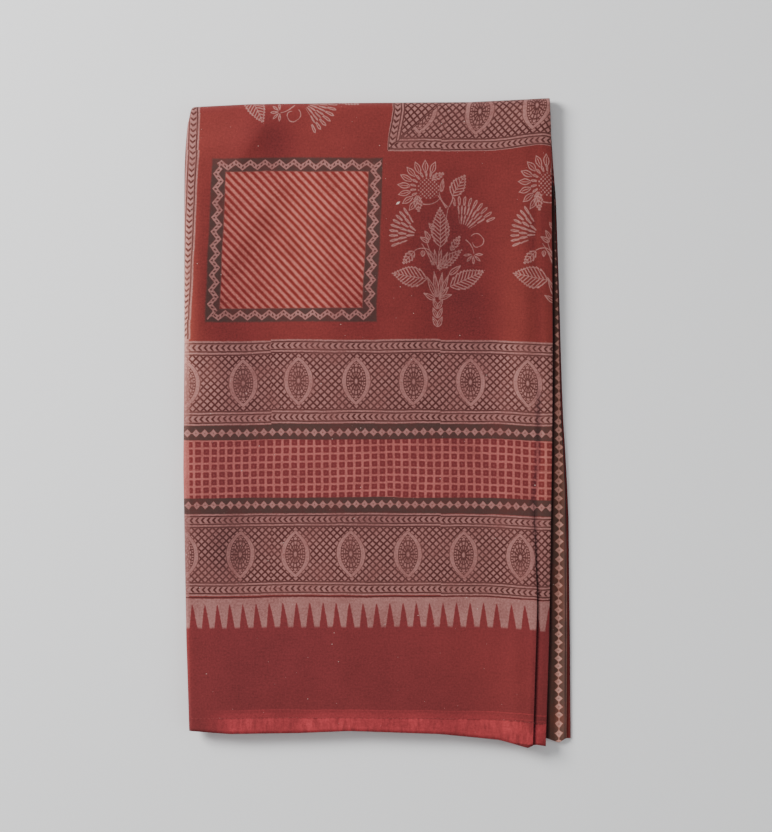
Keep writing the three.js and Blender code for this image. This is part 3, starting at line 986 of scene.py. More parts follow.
square_block, (right, up) = cut_block("square_block", "Right", "Up")
inside_x = (SQUARE_HALF[0] - abs(right)) * (SQUARE_FRAME / SIDE_FRAME)
inside_y = SQUARE_HALF[1] - abs(up)
inside = least(inside_x, inside_y)
on_upright = below(inside_x, inside_y, 0.0001)
at_right = above(right, 0.0, SHARP)
lag = blend(below(up, 0.0, SHARP) * ZIGZAG_LAG["bottom"], (1 - at_right) * ZIGZAG_LAG["left"], on_upright)
run = blend(right, up, on_upright) + lag + on_upright * at_right * (ZIGZAG_PITCH / 2)
swing = to_and_fro(run + ZIGZAG_PITCH / 4, ZIGZAG_PITCH / 2) - ZIGZAG_PITCH / 4
from_ribbon = inside - SQUARE_FRAME / 2 - swing * (ZIGZAG_REACH * 4 / ZIGZAG_PITCH)
ribbon = near(from_ribbon, 0.0, RIBBON_HALF)
dot_run = repeat(run, DOT_PITCH)
dots = below(dot_run * dot_run + from_ribbon * from_ribbon, DOT_RADIUS ** 2, DOT_RADIUS ** 2)
ribbon = ribbon * (1 - dots * 0.9)
in_frame = below(inside, SQUARE_FRAME) * above(inside, 0.0, 0.0020)
edge_line = near(inside, SQUARE_FRAME - 0.0003, 0.0004) * 0.5
frame_pale = most(ribbon, edge_line)
slant = repeat(right / STRIPE_ACROSS + up / STRIPE_UP + STRIPE_START, 1.0)
stripes = above(abs(slant), STRIPE_DARK / 2, 0.26)
in_stripes = above(inside, SQUARE_FRAME)
close_block(square_block, pale=blend(frame_pale * in_frame, stripes, in_stripes),
            dark=in_frame * (1 - frame_pale), stripes=in_stripes, gap=in_stripes * (1 - stripes))


# The sprig blocks
# A flowering sprig, carved in outline: a bound stalk with two broad leaves, a feathered one in
# the middle, and four kinds of flower. It is built up from a few cuts of the carver's gouge.

SPRIG_LINE = 0.00055         # half of a carved line
SPRIG_BLUR = 0.0005
VEIN_PITCH = 0.0042
VEIN_SLANT = 0.9
VEIN_NOTCH = 0.75            # how deep the rim is cut in between the veins
VEINED = 0.0075              # narrower leaves have no veins

leaf_cut, (along, aside, length, width) = cut_block("leaf_cut", "Along", "Aside", "Length", "Width")
share = share_of(along / length, 1.0, 0.0)
half = reckon("SINE", (share ** 0.75) * math.pi) * width * 0.5
side = abs(aside)
from_vein = abs(repeat(along - side * VEIN_SLANT, VEIN_PITCH))
veined = above(width, VEINED, SHARP)
to_rim = half - side - from_vein * veined * VEIN_NOTCH + 0.0003
veins = below(from_vein, 0.0008, SPRIG_BLUR) * veined
veins = most(veins, below(side, SPRIG_LINE * 0.7, SPRIG_BLUR)) * above(to_rim, 0.0, SPRIG_BLUR)
leaf = most(near(to_rim, SPRIG_LINE, SPRIG_LINE, SPRIG_BLUR), veins)
close_block(leaf_cut, pale=leaf * above(along, 0.0, SPRIG_BLUR) * below(along, length, SPRIG_BLUR))

stroke_cut, (along, aside, length, bend) = cut_block("stroke_cut", "Along", "Aside", "Length", "Bend")
share = along / length
bowed = aside - bend * 4 * share * (1 - share)
stroke = below(abs(bowed), (1 - share * 0.4) * SPRIG_LINE * 1.15, SPRIG_BLUR)
close_block(stroke_cut, pale=stroke * above(along, 0.0, SPRIG_BLUR) * below(along, length, SPRIG_BLUR))

PETAL_HOLLOW = 0.0019        # broader petals are carved hollow, with a line along the middle
bloom_cut, (along, aside, spread, inner, outer, petal, blunt) = cut_block(
    "bloom_cut", "Along", "Aside", "Spread", "Inner", "Outer", "Petal", "Blunt")
radius = reckon("SQRT", along * along + aside * aside)
turned = reckon("ARCTAN2", aside, along)
share = share_of((radius - inner) / (outer - inner), 1.0, 0.0)
from_middle = abs(reckon("WRAP", turned, petal * 0.5, petal * -0.5)) * radius
pointed = reckon("SINE", (share * 0.8 + 0.2) * math.pi)
rounded = (1 - share ** 5) * (share * 0.35 + 0.65)
half = blend(pointed, rounded, blunt) * petal * radius * 0.5
body = half - least(half * 0.34, 0.0008) - from_middle
hollow = above(body, SPRIG_LINE * 2, SPRIG_BLUR) * above(half, PETAL_HOLLOW, 0.0005)
middles = below(from_middle, SPRIG_LINE * 0.7, SPRIG_BLUR) * below(share, 0.72, 0.05)
hollow = hollow * (1 - middles * above(half, PETAL_HOLLOW * 1.5, 0.0005))
petals = above(body, 0.0, SPRIG_BLUR) * (1 - hollow)
petals = petals * above(radius - inner, 0.0, SPRIG_BLUR) * below(radius, outer, SPRIG_BLUR)
close_block(bloom_cut, pale=petals * below(abs(turned), spread, 0.03))

seed_cut, (along, aside, across, pitch) = cut_block("seed_cut", "Along", "Aside", "Across", "Pitch")
first = reckon("WRAP", along + aside, pitch * 0.5, pitch * -0.5) / pitch
second = reckon("WRAP", along - aside, pitch * 0.5, pitch * -0.5) / pitch
seeds = below(first * first + second * second, 0.10, 0.08)
from_heart = reckon("SQRT", along * along + aside * aside)
close_block(seed_cut, pale=seeds * below(from_heart, across * 0.5, SPRIG_BLUR))

# Each cut starts at x, y from the foot of the stalk and points in the direction turn, in degrees.
SPRIG_LEAVES = [
    dict(x=-0.012, y=0.053, turn=170, length=0.039, width=0.023),
    dict(x=0.013, y=0.045, turn=25, length=0.042, width=0.021),
    dict(x=0.003, y=0.088, turn=91, length=0.044, width=0.021),
    dict(x=-0.001, y=0.064, turn=38, length=0.036, width=0.013),
    dict(x=0.014, y=0.084, turn=58, length=0.021, width=0.009),
    dict(x=0.012, y=0.058, turn=38, length=0.016, width=0.0055),
    dict(x=0.015, y=0.143, turn=58, length=0.028, width=0.017),
    dict(x=-0.025, y=0.083, turn=226, length=0.020, width=0.011),
    dict(x=-0.016, y=0.084, turn=268, length=0.007, width=0.0045),
    dict(x=-0.003, y=0.030, turn=149, length=0.0150, width=0.0050),
    dict(x=0.0005, y=0.031, turn=20, length=0.0155, width=0.0050),
    dict(x=0.0005, y=0.032, turn=48, length=0.0165, width=0.0055),
    dict(x=-0.0022, y=0.033, turn=113, length=0.025, width=0.0052),
    dict(x=-0.0008, y=0.033, turn=97, length=0.029, width=0.0050),
    dict(x=0.0008, y=0.033, turn=82, length=0.028, width=0.0050),
    dict(x=0.0022, y=0.034, turn=69, length=0.026, width=0.0050),
    dict(x=0.003, y=0.147, turn=80, length=0.015, width=0.0045),
    dict(x=-0.0232, y=0.1435, turn=-82, length=0.020, width=0.0105),
    dict(x=-0.0069, y=0.1615, turn=24, length=0.0165, width=0.0085),
    dict(x=-0.0095, y=0.0930, turn=150, length=0.0115, width=0.0048),
    dict(x=-0.0085, y=0.0960, turn=122, length=0.0110, width=0.0048),
    dict(x=-0.004, y=0.1060, turn=128, length=0.0100, width=0.0045),
]
SPRIG_STROKES = [
    dict(x=0.002, y=0.062, turn=88, length=0.028, bend=0.002),
    dict(x=-0.0005, y=0.066, turn=112, length=0.032, bend=0.001),
    dict(x=-0.006, y=0.068, turn=116, length=0.026, bend=-0.001),
    dict(x=-0.025, y=0.084, turn=-14, length=0.021, bend=0.005),
    dict(x=0.010, y=0.094, turn=88, length=0.037, bend=0.002),
    dict(x=0.011, y=0.131, turn=122, length=0.019, bend=0.002),
    dict(x=0.009, y=0.130, turn=124, length=0.017, bend=0.0),
    dict(x=0.012, y=0.131, turn=74, length=0.015, bend=-0.001),
    dict(x=-0.017, y=0.134, turn=18, length=0.020, bend=-0.003),
    dict(x=0.030, y=0.096, turn=-58, length=0.018, bend=0.002),
    dict(x=0.036, y=0.100, turn=-12, length=0.013, bend=0.004),
    dict(x=0.049, y=0.098, turn=-118, length=0.011, bend=0.003),
    dict(x=0.044, y=0.088, turn=140, length=0.008, bend=0.002),
]
STALK_LEAVES = dict(first=0.001, pitch=0.0096, count=3, length=0.0125, width=0.0046, lean=25)
SPRIG_BLOOMS = [
    dict(x=-0.0115, y=0.1515, turn=150, spread=1.60, inner=0.0125, outer=0.0190, petal=0.32, blunt=1),
    dict(x=-0.0135, y=0.1515, turn=152, spread=1.62, inner=0.0170, outer=0.0310, petal=0.36, blunt=0),
    dict(x=-0.0184, y=0.1010, turn=162, spread=0.62, inner=0.0070, outer=0.0160, petal=0.36, blunt=1),
    dict(x=-0.0184, y=0.1010, turn=162, spread=0.74, inner=0.0155, outer=0.0250, petal=0.24, blunt=1),
    dict(x=-0.0184, y=0.1010, turn=162, spread=0.76, inner=0.0245, outer=0.0345, petal=0.17, blunt=1),
    dict(x=0.0246, y=0.1016, turn=64, spread=0.58, inner=0.0110, outer=0.0220, petal=0.20, blunt=1),
    dict(x=0.0246, y=0.1016, turn=64, spread=0.63, inner=0.0215, outer=0.0315, petal=0.135, blunt=1),
    dict(x=0.0246, y=0.1016, turn=64, spread=0.70, inner=0.0310, outer=0.0415, petal=0.165, blunt=1),
    dict(x=-0.0005, y=0.0600, turn=80, spread=0.80, inner=0.0085, outer=0.0260, petal=0.30, blunt=0),
    dict(x=0.0384, y=0.0800, turn=-88, spread=1.90, inner=0.0016, outer=0.0110, petal=0.76, blunt=0),
]
SPRIG_SEEDS = [
    dict(x=-0.0105, y=0.1515, across=0.024, pitch=0.0043),
]


def lay_cut(block, place, cut, *measures):
    """Set one cut of the gouge in the sprig, and return what it prints."""
    turned = sprig_block.nodes.new("ShaderNodeMapping")
    turned.vector_type = "TEXTURE"
    turned.inputs["Location"].default_value = (cut["x"], cut["y"], 0)
    turned.inputs["Rotation"].default_value = (0, 0, math.radians(cut.get("turn", 0)))
    axes = sprig_block.nodes.new("ShaderNodeSeparateXYZ")
    sprig_block.links.new(place, turned.inputs["Vector"])
    sprig_block.links.new(turned.outputs[0], axes.inputs[0])
    hand = sprig_block.nodes.new("ShaderNodeGroup")
    hand.node_tree = block
    sprig_block.links.new(axes.outputs[0], hand.inputs[0])
    sprig_block.links.new(axes.outputs[1], hand.inputs[1])
    for socket, measure in zip(list(hand.inputs)[2:], measures):
        socket.default_value = cut[measure]
    return Amount(hand.outputs[0])


sprig_block, (right, up) = cut_block("sprig_block", "Right", "Up")
sprig_place = sprig_block.nodes.new("ShaderNodeCombineXYZ")
sprig_block.links.new(right.socket, sprig_place.inputs[0])
sprig_block.links.new(up.socket, sprig_place.inputs[1])
for number in range(STALK_LEAVES["count"]):
    for lean in (STALK_LEAVES["lean"], -STALK_LEAVES["lean"]):
        SPRIG_LEAVES.append(dict(STALK_LEAVES, x=-0.0004, turn=90 + lean,
                                 y=STALK_LEAVES["first"] + number * STALK_LEAVES["pitch"]))
SPRIG_CUTS = [
    dict(block=leaf_cut, rows=SPRIG_LEAVES, measures=("length", "width")),
    dict(block=stroke_cut, rows=SPRIG_STROKES, measures=("length", "bend")),
    dict(block=bloom_cut, rows=SPRIG_BLOOMS, measures=("spread", "inner", "outer", "petal", "blunt")),
    dict(block=seed_cut, rows=SPRIG_SEEDS, measures=("across", "pitch")),
]
close_block(sprig_block, pale=most(*[
    lay_cut(kind["block"], sprig_place.outputs[0], cut, *kind["measures"])
    for kind in SPRIG_CUTS for cut in kind["rows"]]))


# The printed cotton
# Plain-weave cotton, dyed red. The blocks are set out from the sheet's edges: a banded border
# on every side, a frame of the same bands further in, and squares and sprigs between the two.

HEM_BORDER = 0.424
SIDE_BORDER = 0.360
SIDE_SHIFT = 0.064           # the side border shows less of its outer bands
INNER_FRAME = (0.5690, 0.6264)
INNER_SHIFT = 0.147
STACK_CENTRE = 0.2838        # the middle of the check band, from the hem
STACK_HALF = 0.1366
LATTICE_CENTRE = 0.0929
LATTICE_LIFT_UPPER = 0.0009
LATTICE_SWELL = dict(lower=0.006, upper=0.037)     # the prints are this much taller
OVAL_FIRST = 0.4105
OVAL_SHIFT_LOWER = -0.0005
OVAL_SHIFT_UPPER = 0.0023
OVAL_SHIFT_INNER = 0.0078
OVAL_SPREAD_UPPER = 0.0097   # and their ovals stand this much further apart
OVAL_CLOSE_LOWER = 0.0089    # or closer
ARROW_LAG = dict(lower_row=0.0016, upper=0.0017)
CHECK_FIRST = 0.5778
CHECK_LEAD_FIRST = 0.0015
LOZENGE_FIRST = 0.5827
LOZENGE_TIGHT_FROM = 1.22    # far up the sides the lozenges are set closer
LOZENGE_TIGHT = 0.073
TOOTH_FIRST = 0.3565
TOOTH_JOINT = 0.3935
TOOTH_LAG_FIRST = 0.0008
TOOTH_TIGHT_FIRST = 0.09
TOOTH_JOINT_LAST = 0.695
TOOTH_LAG_LAST = 0.0018
HEM_STITCH = 0.0143          # where the hem's stitches run, from its edge
HEM_STITCH_FALL = 0.009      # for every metre past the next
HEM_STITCH_LEVEL = 0.5
HEM_RED_TOP = 0.146          # below the teeth's line the red is a little bluer
HEM_BLUR = 0.001
HEM_PAINTED_GLOW = (0.0070, 0.006)   # a painted glow of light above the stitches: how far it reaches, and its soft edge
HEM_HIGHLIGHT_LINES = [dict(up=0.0022, half=0.0004), dict(up=0.0083, half=0.0005)]    # painted highlights along the lines where the turned edge shows
SIDE_EDGE = 0.3568           # the side border's last band goes on down to the hem
LATTICE_JOINT = 0.445
LATTICE_BLOCK = 0.183
CHECK_JOINT = 0.5702
CHECK_BLOCK = 0.188
JOINT_STEP = 0.0022
FIRST_PRINT = dict(lower=-0.0010, upper=0.0003, along=0.0018)
SPRIG_FIRST = 0.6251
SPRIG_PITCH = 0.1304
SPRIG_FOOT = 0.0112
SPRIG_SIDE_FIRST = 0.7069
SPRIG_SIDE_FOOT = 0.0040
CHECK_TILT_FIRST = 0.015
CHECK_TILT_SECOND = 0.021
CHECK_LIFT_SECOND = -0.0016
FRAME_STRIP = 0.0210         # the inner frame ends in a wider dark strip and a pair of lines
FRAME_STRIP_END = 0.0450
FRAME_LINES = [dict(off=0.0457, half=0.0006), dict(off=0.0476, half=0.0005)]
DARK_STRIP = (0.0404, 0.0088)    # the ground under the lozenges: its middle, and half its width


def dye(red, green, blue):
    """A colour as seen, in the shader's linear amounts."""
    return tuple((part / 255 / 12.92 if part < 10.3 else ((part / 255 + 0.055) / 1.055) ** 2.4)
                 for part in (red, green, blue)) + (1,)


RED_FIELD = dye(118, 43, 41)
RED_HEM = dye(116, 42, 44)
# Painted light on the raised hem, and painted shade in its dents along the stitches.
RED_HEM_PAINTED_LIGHT = dye(186, 62, 68)
RED_HEM_DENT_SHADE = dye(92, 30, 34)
RED_CHECK = dye(109, 40, 42)
PALE_BORDER = dye(153, 103, 98)
PALE_CHECK = dye(163, 88, 83)
PALE_STRIPE = dye(179, 100, 91)
PALE_SPRIG = dye(164, 112, 106)
DARK_LINE = dye(72, 32, 30)
DARK_GROUND = dye(71, 47, 43)
DARK_STRIPE = dye(118, 36, 32)
LINT = dye(214, 190, 180)
LINT_TUFTS = [dict(right=0.5820, up=0.5702, long=0.0028, wide=0.0013)]

cloth_tree = cotton.node_tree
shader = cloth_tree.nodes["Principled BSDF"]


def add_node(kind, **settings):
    made = cloth_tree.nodes.new(kind)
    for name, value in settings.items():
        setattr(made, name, value)
    return made


def cloud(scale, detail=2.0, rough=0.5, place=None, stretch=(1, 1, 1)):
    """Soft random patches over the cloth, about a half; scale is patches per metre."""
    patches = add_node("ShaderNodeTexNoise")
    patches.inputs["Scale"].default_value = scale
    patches.inputs["Detail"].default_value = detail
    patches.inputs["Roughness"].default_value = rough
    source = place or cloth_place.outputs[0]
    if stretch != (1, 1, 1):
        stretched = add_node("ShaderNodeMapping")
        stretched.inputs["Scale"].default_value = stretch
        cloth_tree.links.new(source, stretched.inputs[0])
        source = stretched.outputs[0]
    cloth_tree.links.new(source, patches.inputs["Vector"])
    return patches


def tint(share, start, end):
    """A colour between two colours or colour sockets."""
    mixer = add_node("ShaderNodeMix", data_type="RGBA")
    join(cloth_tree, share, mixer.inputs["Factor"])
    for colour, socket in ((start, mixer.inputs[6]), (end, mixer.inputs[7])):
        if isinstance(colour, tuple):
            socket.default_value = colour
        else:
            cloth_tree.links.new(colour, socket)
    return mixer.outputs[2]


cloth_place = add_node("ShaderNodeUVMap", uv_map=COTTON_MAP)
print_axes = add_node("ShaderNodeSeparateXYZ")
cloth_tree.links.new(cloth_place.outputs[0], print_axes.inputs[0])
right_raw, up_raw = Amount(print_axes.outputs[0]), Amount(print_axes.outputs[1])

# The hand that sets the blocks is never quite true, and the wet cloth creeps.
drift = add_node("ShaderNodeSeparateXYZ")
cloth_tree.links.new(cloud(16, 1.0).outputs["Color"], drift.inputs[0])
tremble = add_node("ShaderNodeSeparateXYZ")
cloth_tree.links.new(cloud(260, 1.0).outputs["Color"], tremble.inputs[0])
DRIFT = 0.0030
TREMBLE = 0.0009
right_drift = (Amount(drift.outputs[0]) - 0.5) * DRIFT + (Amount(tremble.outputs[0]) - 0.5) * TREMBLE
up_drift = (Amount(drift.outputs[1]) - 0.5) * DRIFT + (Amount(tremble.outputs[1]) - 0.5) * TREMBLE
right = to_and_fro(right_raw + right_drift, SHEET_WIDTH / 2)
up = to_and_fro(up_raw + up_drift, SHEET_LENGTH / 2)

in_hem_border = below(up, HEM_BORDER, SHARP)
in_side_border = below(right, SIDE_BORDER, SHARP) * (1 - in_hem_border)
frame_right = right - INNER_FRAME[0]
frame_up = up - INNER_FRAME[1]
frame_inset = least(frame_right, frame_up)
in_frame = above(frame_inset, 0.0, SHARP)
mitre = frame_right - frame_up
frame_upright = below(mitre, 0.0, SHARP)
stack_place = blend(frame_inset + INNER_SHIFT, right + SIDE_SHIFT, in_side_border)
stack_place = blend(stack_place, up, in_hem_border)
along_up = most(in_side_border, in_frame * frame_upright) * (1 - in_hem_border)
along = blend(right, up, along_up)
bordered = most(most(in_hem_border, in_side_border), in_frame)
off = stack_place - STACK_CENTRE


def block_step(first, length):
    """Which print of a block this is, as a small random shift of its own."""
    count = reckon("FLOOR", (along - first) / length)
    chance = add_node("ShaderNodeTexWhiteNoise", noise_dimensions="1D")
    cloth_tree.links.new(count.socket, chance.inputs["W"])
    return (Amount(chance.outputs["Value"]) - 0.5) * JOINT_STEP


lattice_step = block_step(LATTICE_JOINT, LATTICE_BLOCK)
first_print = below(along, LATTICE_JOINT, SHARP) * in_hem_border
check_step = block_step(CHECK_JOINT, CHECK_BLOCK)
spread = abs(off)
upper = above(off, 0.0)
lattice_off = (spread - LATTICE_CENTRE) * (upper * 2 - 1) - upper * LATTICE_LIFT_UPPER
lattice_off = lattice_off - lattice_step
lattice_off = lattice_off + first_print * blend(FIRST_PRINT["lower"], FIRST_PRINT["upper"], upper)
lattice_off = lattice_off / (blend(LATTICE_SWELL["lower"], LATTICE_SWELL["upper"], upper) + 1)
lattice_along = along - OVAL_FIRST - upper * OVAL_SHIFT_UPPER - in_frame * OVAL_SHIFT_INNER
lattice_along = lattice_along * (1 - upper * OVAL_SPREAD_UPPER) - first_print * FIRST_PRINT["along"]
arrow_along = lattice_along - below(lattice_off, 0.0) * ARROW_LAG["lower_row"] - upper * ARROW_LAG["upper"]
plain = in_frame * frame_upright * below(frame_up, OVAL_PITCH * 1.25, SHARP)
in_lattice = below(abs(lattice_off), LATTICE_HALF) * bordered * (1 - in_frame * upper)
in_lowest = in_hem_border * (1 - upper)
oval_along = (lattice_along - in_lowest * OVAL_SHIFT_LOWER) * (in_lowest * OVAL_CLOSE_LOWER + 1)
[lattice_dark] = stamp(lattice_block, oval_along, lattice_off, arrow_along, plain)
lattice_dark = lattice_dark * in_lattice

strip_off = spread - STRIP_CENTRE
frame_strip = above(off, FRAME_STRIP) * below(off, FRAME_STRIP_END) * in_frame
lozenge_part = most(near(spread, *DARK_STRIP) * bordered, frame_strip) * (1 - in_lattice)
frame_lines = most(*[near(off, line["off"], line["half"]) for line in FRAME_LINES]) * in_frame
tightened = most(along - LOZENGE_TIGHT_FROM, 0.0) * LOZENGE_TIGHT
[strip_pale] = stamp(lozenge_block, along - LOZENGE_FIRST + tightened, strip_off)

in_checks = below(spread, CHECK_HALF) * bordered * (1 - lozenge_part)
first_check = below(along, CHECK_JOINT, SHARP)
check_slant = blend((along - CHECK_JOINT) * CHECK_TILT_SECOND + CHECK_LIFT_SECOND,
                    (CHECK_JOINT - along) * CHECK_TILT_FIRST, first_check)
check_slant = check_slant * below(along, CHECK_JOINT + CHECK_BLOCK, SHARP) * in_hem_border
check_lead = first_check * in_hem_border * CHECK_LEAD_FIRST
[check_pale] = stamp(check_block, along - CHECK_FIRST + check_step * 2 + check_lead,
                     off + check_step + check_slant)
check_pale = check_pale * in_checks

to_joint = most(TOOTH_JOINT - along, 0.0)
tooth_lag = to_joint * TOOTH_TIGHT_FIRST + above(to_joint, 0.0, SHARP) * TOOTH_LAG_FIRST
tooth_lag = tooth_lag + above(along, TOOTH_JOINT_LAST, SHARP) * TOOTH_LAG_LAST
[teeth_pale, teeth_dark] = stamp(teeth_block, along - TOOTH_FIRST - tooth_lag, up)
side_edge = below(right, SIDE_EDGE) * above(up, TEETH_END, TEETH_BLUR) * in_hem_border
teeth_pale = most(teeth_pale, side_edge) * in_hem_border * (1 - in_lattice)
lattice_dark = lattice_dark * (1 - side_edge * 0.5)
teeth_dark = teeth_dark * in_hem_border * (1 - in_lattice)

square_up = up - SQUARE_CENTRE[1]
square_right = right - SQUARE_CENTRE[0]
[square_pale, square_dark, in_stripes, stripe_gap] = stamp(square_block, square_right, square_up)

side_band = above(up, INNER_FRAME[1], SHARP)
sprig_right = blend(repeat(right - SPRIG_FIRST, SPRIG_PITCH),
                    repeat(SPRIG_SIDE_FIRST - up, SPRIG_PITCH), side_band)
sprig_up = blend(up - HEM_BORDER - SPRIG_FOOT, right - SIDE_BORDER - SPRIG_SIDE_FOOT, side_band)
in_band = blend(above(right, SPRIG_FIRST - SPRIG_PITCH / 2),
                below(right, INNER_FRAME[0]) * above(up, SPRIG_SIDE_FIRST - SPRIG_PITCH / 2), side_band)
[sprig_pale] = stamp(sprig_block, sprig_right, sprig_up)
sprig_pale = sprig_pale * in_band * (1 - bordered)

mitre_line = near(mitre, 0.0, 0.0008) * in_frame * below(frame_inset, STACK_HALF * 2)

# The dye lies unevenly: in broad clouds, along the threads, and thinner in the print's middle.
broad = Amount(cloud(7, 3.0).outputs["Fac"])
patch = Amount(cloud(38, 3.0).outputs["Fac"])
grain = Amount(cloud(450, 3.0, 0.8).outputs["Fac"])
thread_up = Amount(cloud(60, 2.0, 0.6, stretch=(14, 1, 1)).outputs["Fac"])
thread_across = Amount(cloud(60, 2.0, 0.6, stretch=(1, 14, 1)).outputs["Fac"])
cover = share_of(patch + grain, 0.9, 0.02)
# Noise that the hem's painted light and painted shade follow, over its puckers.
pucker = Amount(cloud(190, 2.0, 0.6, stretch=(1, 0.3, 1)).outputs["Fac"])

ground = tint(in_hem_border * below(up, HEM_RED_TOP), RED_FIELD, RED_HEM)
ground = tint(in_checks, ground, RED_CHECK)
stitch_up = most(right - HEM_STITCH_LEVEL, 0.0) * -HEM_STITCH_FALL + HEM_STITCH
above_stitch = up - stitch_up
# Painted light on the hem: lighter red below the stitches where its puckers catch the light, a painted
# glow above them, and painted highlights along the turned edge.
hem_fold_highlights = most(*[near(above_stitch, line["up"], line["half"], HEM_BLUR) for line in HEM_HIGHLIGHT_LINES])
hem_painted_light = most(below(above_stitch, 0.0, HEM_BLUR) * share_of(pucker, 2.6, -0.5),
                 below(above_stitch, *HEM_PAINTED_GLOW) * share_of(right, -12, 8.9) * 0.42, hem_fold_highlights * 0.5)
hem_painted_light = hem_painted_light * share_of(broad, 3.2, -0.8) * share_of(right, 28, -10.35) * in_hem_border
ground = tint(hem_painted_light * (patch * 0.5 + 0.6), ground, RED_HEM_PAINTED_LIGHT)
# Painted shade in the dents along the stitch line, following the puckers.
hem_dent_shade = near(above_stitch, -0.0003, 0.0004, 0.0008) * share_of(pucker, -4.0, 2.6) * in_hem_border
ground = tint(hem_dent_shade * 0.7, ground, RED_HEM_DENT_SHADE)
pale_ink = tint(in_checks, PALE_BORDER, PALE_CHECK)
pale_ink = tint(in_stripes, pale_ink, PALE_STRIPE)
pale_ink = tint(sprig_pale, pale_ink, PALE_SPRIG)
pale = most(in_lattice, check_pale, lozenge_part * strip_pale, teeth_pale, square_pale, sprig_pale,
            frame_lines)
colour = tint(pale * cover, ground, pale_ink)
colour = tint(stripe_gap, colour, DARK_STRIPE)
dark_ground = most(lozenge_part * (1 - strip_pale), square_dark)
colour = tint(dark_ground * cover, colour, DARK_GROUND)
dark_line = most(lattice_dark, teeth_dark, mitre_line)
colour = tint(dark_line * cover, colour, DARK_LINE)

tone = add_node("ShaderNodeHueSaturation")
cloth_tree.links.new(colour, tone.inputs["Color"])
# The attribute carries painted light and shade along with uneven dye. It lightens or darkens the colour
# and shifts its hue a little.
painted_light_shade_and_dye = Amount(add_node("ShaderNodeAttribute", attribute_name="painted_light_shade_and_dye").outputs["Fac"])
value = -0.06 + broad * 0.40 + patch * 0.26 + thread_up * 0.18 + thread_across * 0.16 + grain * 1.12
value = most(value + painted_light_shade_and_dye, 0.08)
cloth_tree.links.new(value.socket, tone.inputs["Value"])
cloth_tree.links.new((painted_light_shade_and_dye * 0.012 + 0.5).socket, tone.inputs["Hue"])
fleck = above(Amount(cloud(420, 0.0).outputs["Fac"]), 0.88, 0.02)
for tuft in LINT_TUFTS:
    along_tuft = (right_raw - tuft["right"]) * 0.8 + (up_raw - tuft["up"]) * 0.6
    beside_tuft = (up_raw - tuft["up"]) * 0.8 - (right_raw - tuft["right"]) * 0.6
    away = abs(along_tuft) / tuft["long"] + abs(beside_tuft) / tuft["wide"]
    fleck = most(fleck, below(away, 1.0, 0.4) * 1.5)
lint = tint(fleck * 0.6, tone.outputs[0], LINT)
cloth_tree.links.new(lint, shader.inputs["Base Color"])
shader.inputs["Roughness"].default_value = 0.88
shader.inputs["Specular IOR Level"].default_value = 0.25
shader.inputs["Sheen Weight"].default_value = 0.08
shader.inputs["Sheen Roughness"].default_value = 0.5

THREAD_PITCH = 0.00044
WEAVE_DEPTH = 0.00006
warp_wave = reckon("SINE", right_raw * (2 * math.pi / THREAD_PITCH))
weft_wave = reckon("SINE", up_raw * (2 * math.pi / THREAD_PITCH))
relief = (warp_wave * weft_wave) * 0.25 + thread_up * 1.2 + thread_across * 1.2 + grain * 0.5
bump = add_node("ShaderNodeBump")
bump.inputs["Distance"].default_value = WEAVE_DEPTH * 4
bump.inputs["Strength"].default_value = 0.5
cloth_tree.links.new(relief.socket, bump.inputs["Height"])
cloth_tree.links.new(bump.outputs[0], shader.inputs["Normal"])


# The hem's stitches
# Red cotton thread, machine-sewn in one line along the turned-up hem. Each stitch is a short
# round of thread that goes down through the hem at both ends, a little sunk in the cloth.

STITCHES = {"Stitch Length": 0.0034, "Stitch Gap": 0.0009, "Thread Width": 0.00045}
THREAD_LIFT = 0.00008
STITCH_UNEVEN = (0.85, 1.08)
STITCH_SEED = 4
ROUND_STITCH = dict(Segments=8, Rings=5, Radius=1.0)
THREAD_RED = dye(158, 66, 64)
THREAD_SHADE = dye(116, 42, 42)
TWISTS = 600                 # turns of the thread's twist, for the wave texture's scale

thread = bpy.data.materials.new("hem_thread")
thread.use_nodes = True
thread_tree = thread.node_tree
thread_place = thread_tree.nodes.new("ShaderNodeTexCoord")
twist = thread_tree.nodes.new("ShaderNodeTexWave")
twist.bands_direction = "DIAGONAL"
twist.inputs["Scale"].default_value = TWISTS
twist.inputs["Distortion"].default_value = 1.5
thread_tree.links.new(thread_place.outputs["Object"], twist.inputs["Vector"])
thread_colour = thread_tree.nodes.new("ShaderNodeMix")
thread_colour.data_type = "RGBA"
thread_colour.inputs[6].default_value = THREAD_SHADE
thread_colour.inputs[7].default_value = THREAD_RED
thread_tree.links.new(twist.outputs["Fac"], thread_colour.inputs["Factor"])
thread_shader = thread_tree.nodes["Principled BSDF"]
thread_shader.inputs["Roughness"].default_value = 0.75
thread_tree.links.new(thread_colour.outputs[2], thread_shader.inputs["Base Color"])


def stitch_place(column):
    """Where the line of stitches crosses a column, on the outer face of the cloth."""
    row = dict(half="front", along=0.02, angle=0.0, cloth=1, tuck=0.0)
    for _ in range(4):
        places = dict(fold_places(row), cloth=1)
        over, high = print_place(column, row, places)
        wanted = HEM_STITCH - HEM_STITCH_FALL * max(0.0, over - HEM_STITCH_LEVEL)
        row["along"] += (wanted - high) / (turn_height(0.0) - look(HEM_LINE, "x", 0.0, "y"))
    face = SPLIT + COTTON / 2 + THREAD_LIFT
    return lay(column, row, dict(fold_places(row), cloth=1), face, face) + shift


def stitch_lines():
    """The line of stitches in two lengths: up to the pleat's lip, and from beyond it."""
    before, beyond = [], []
    for column in COLUMNS:
        point = column.get("point")
        if column.get("at") == "outer_left" or column.get("part") == "main" or point == PLEAT_PATH[0]:
            before.append(stitch_place(column))
        if column.get("at") == "outer_right" or column.get("part") == "strip" or point == PLEAT_PATH[-1]:
            beyond.append(stitch_place(column))
    return before, beyond


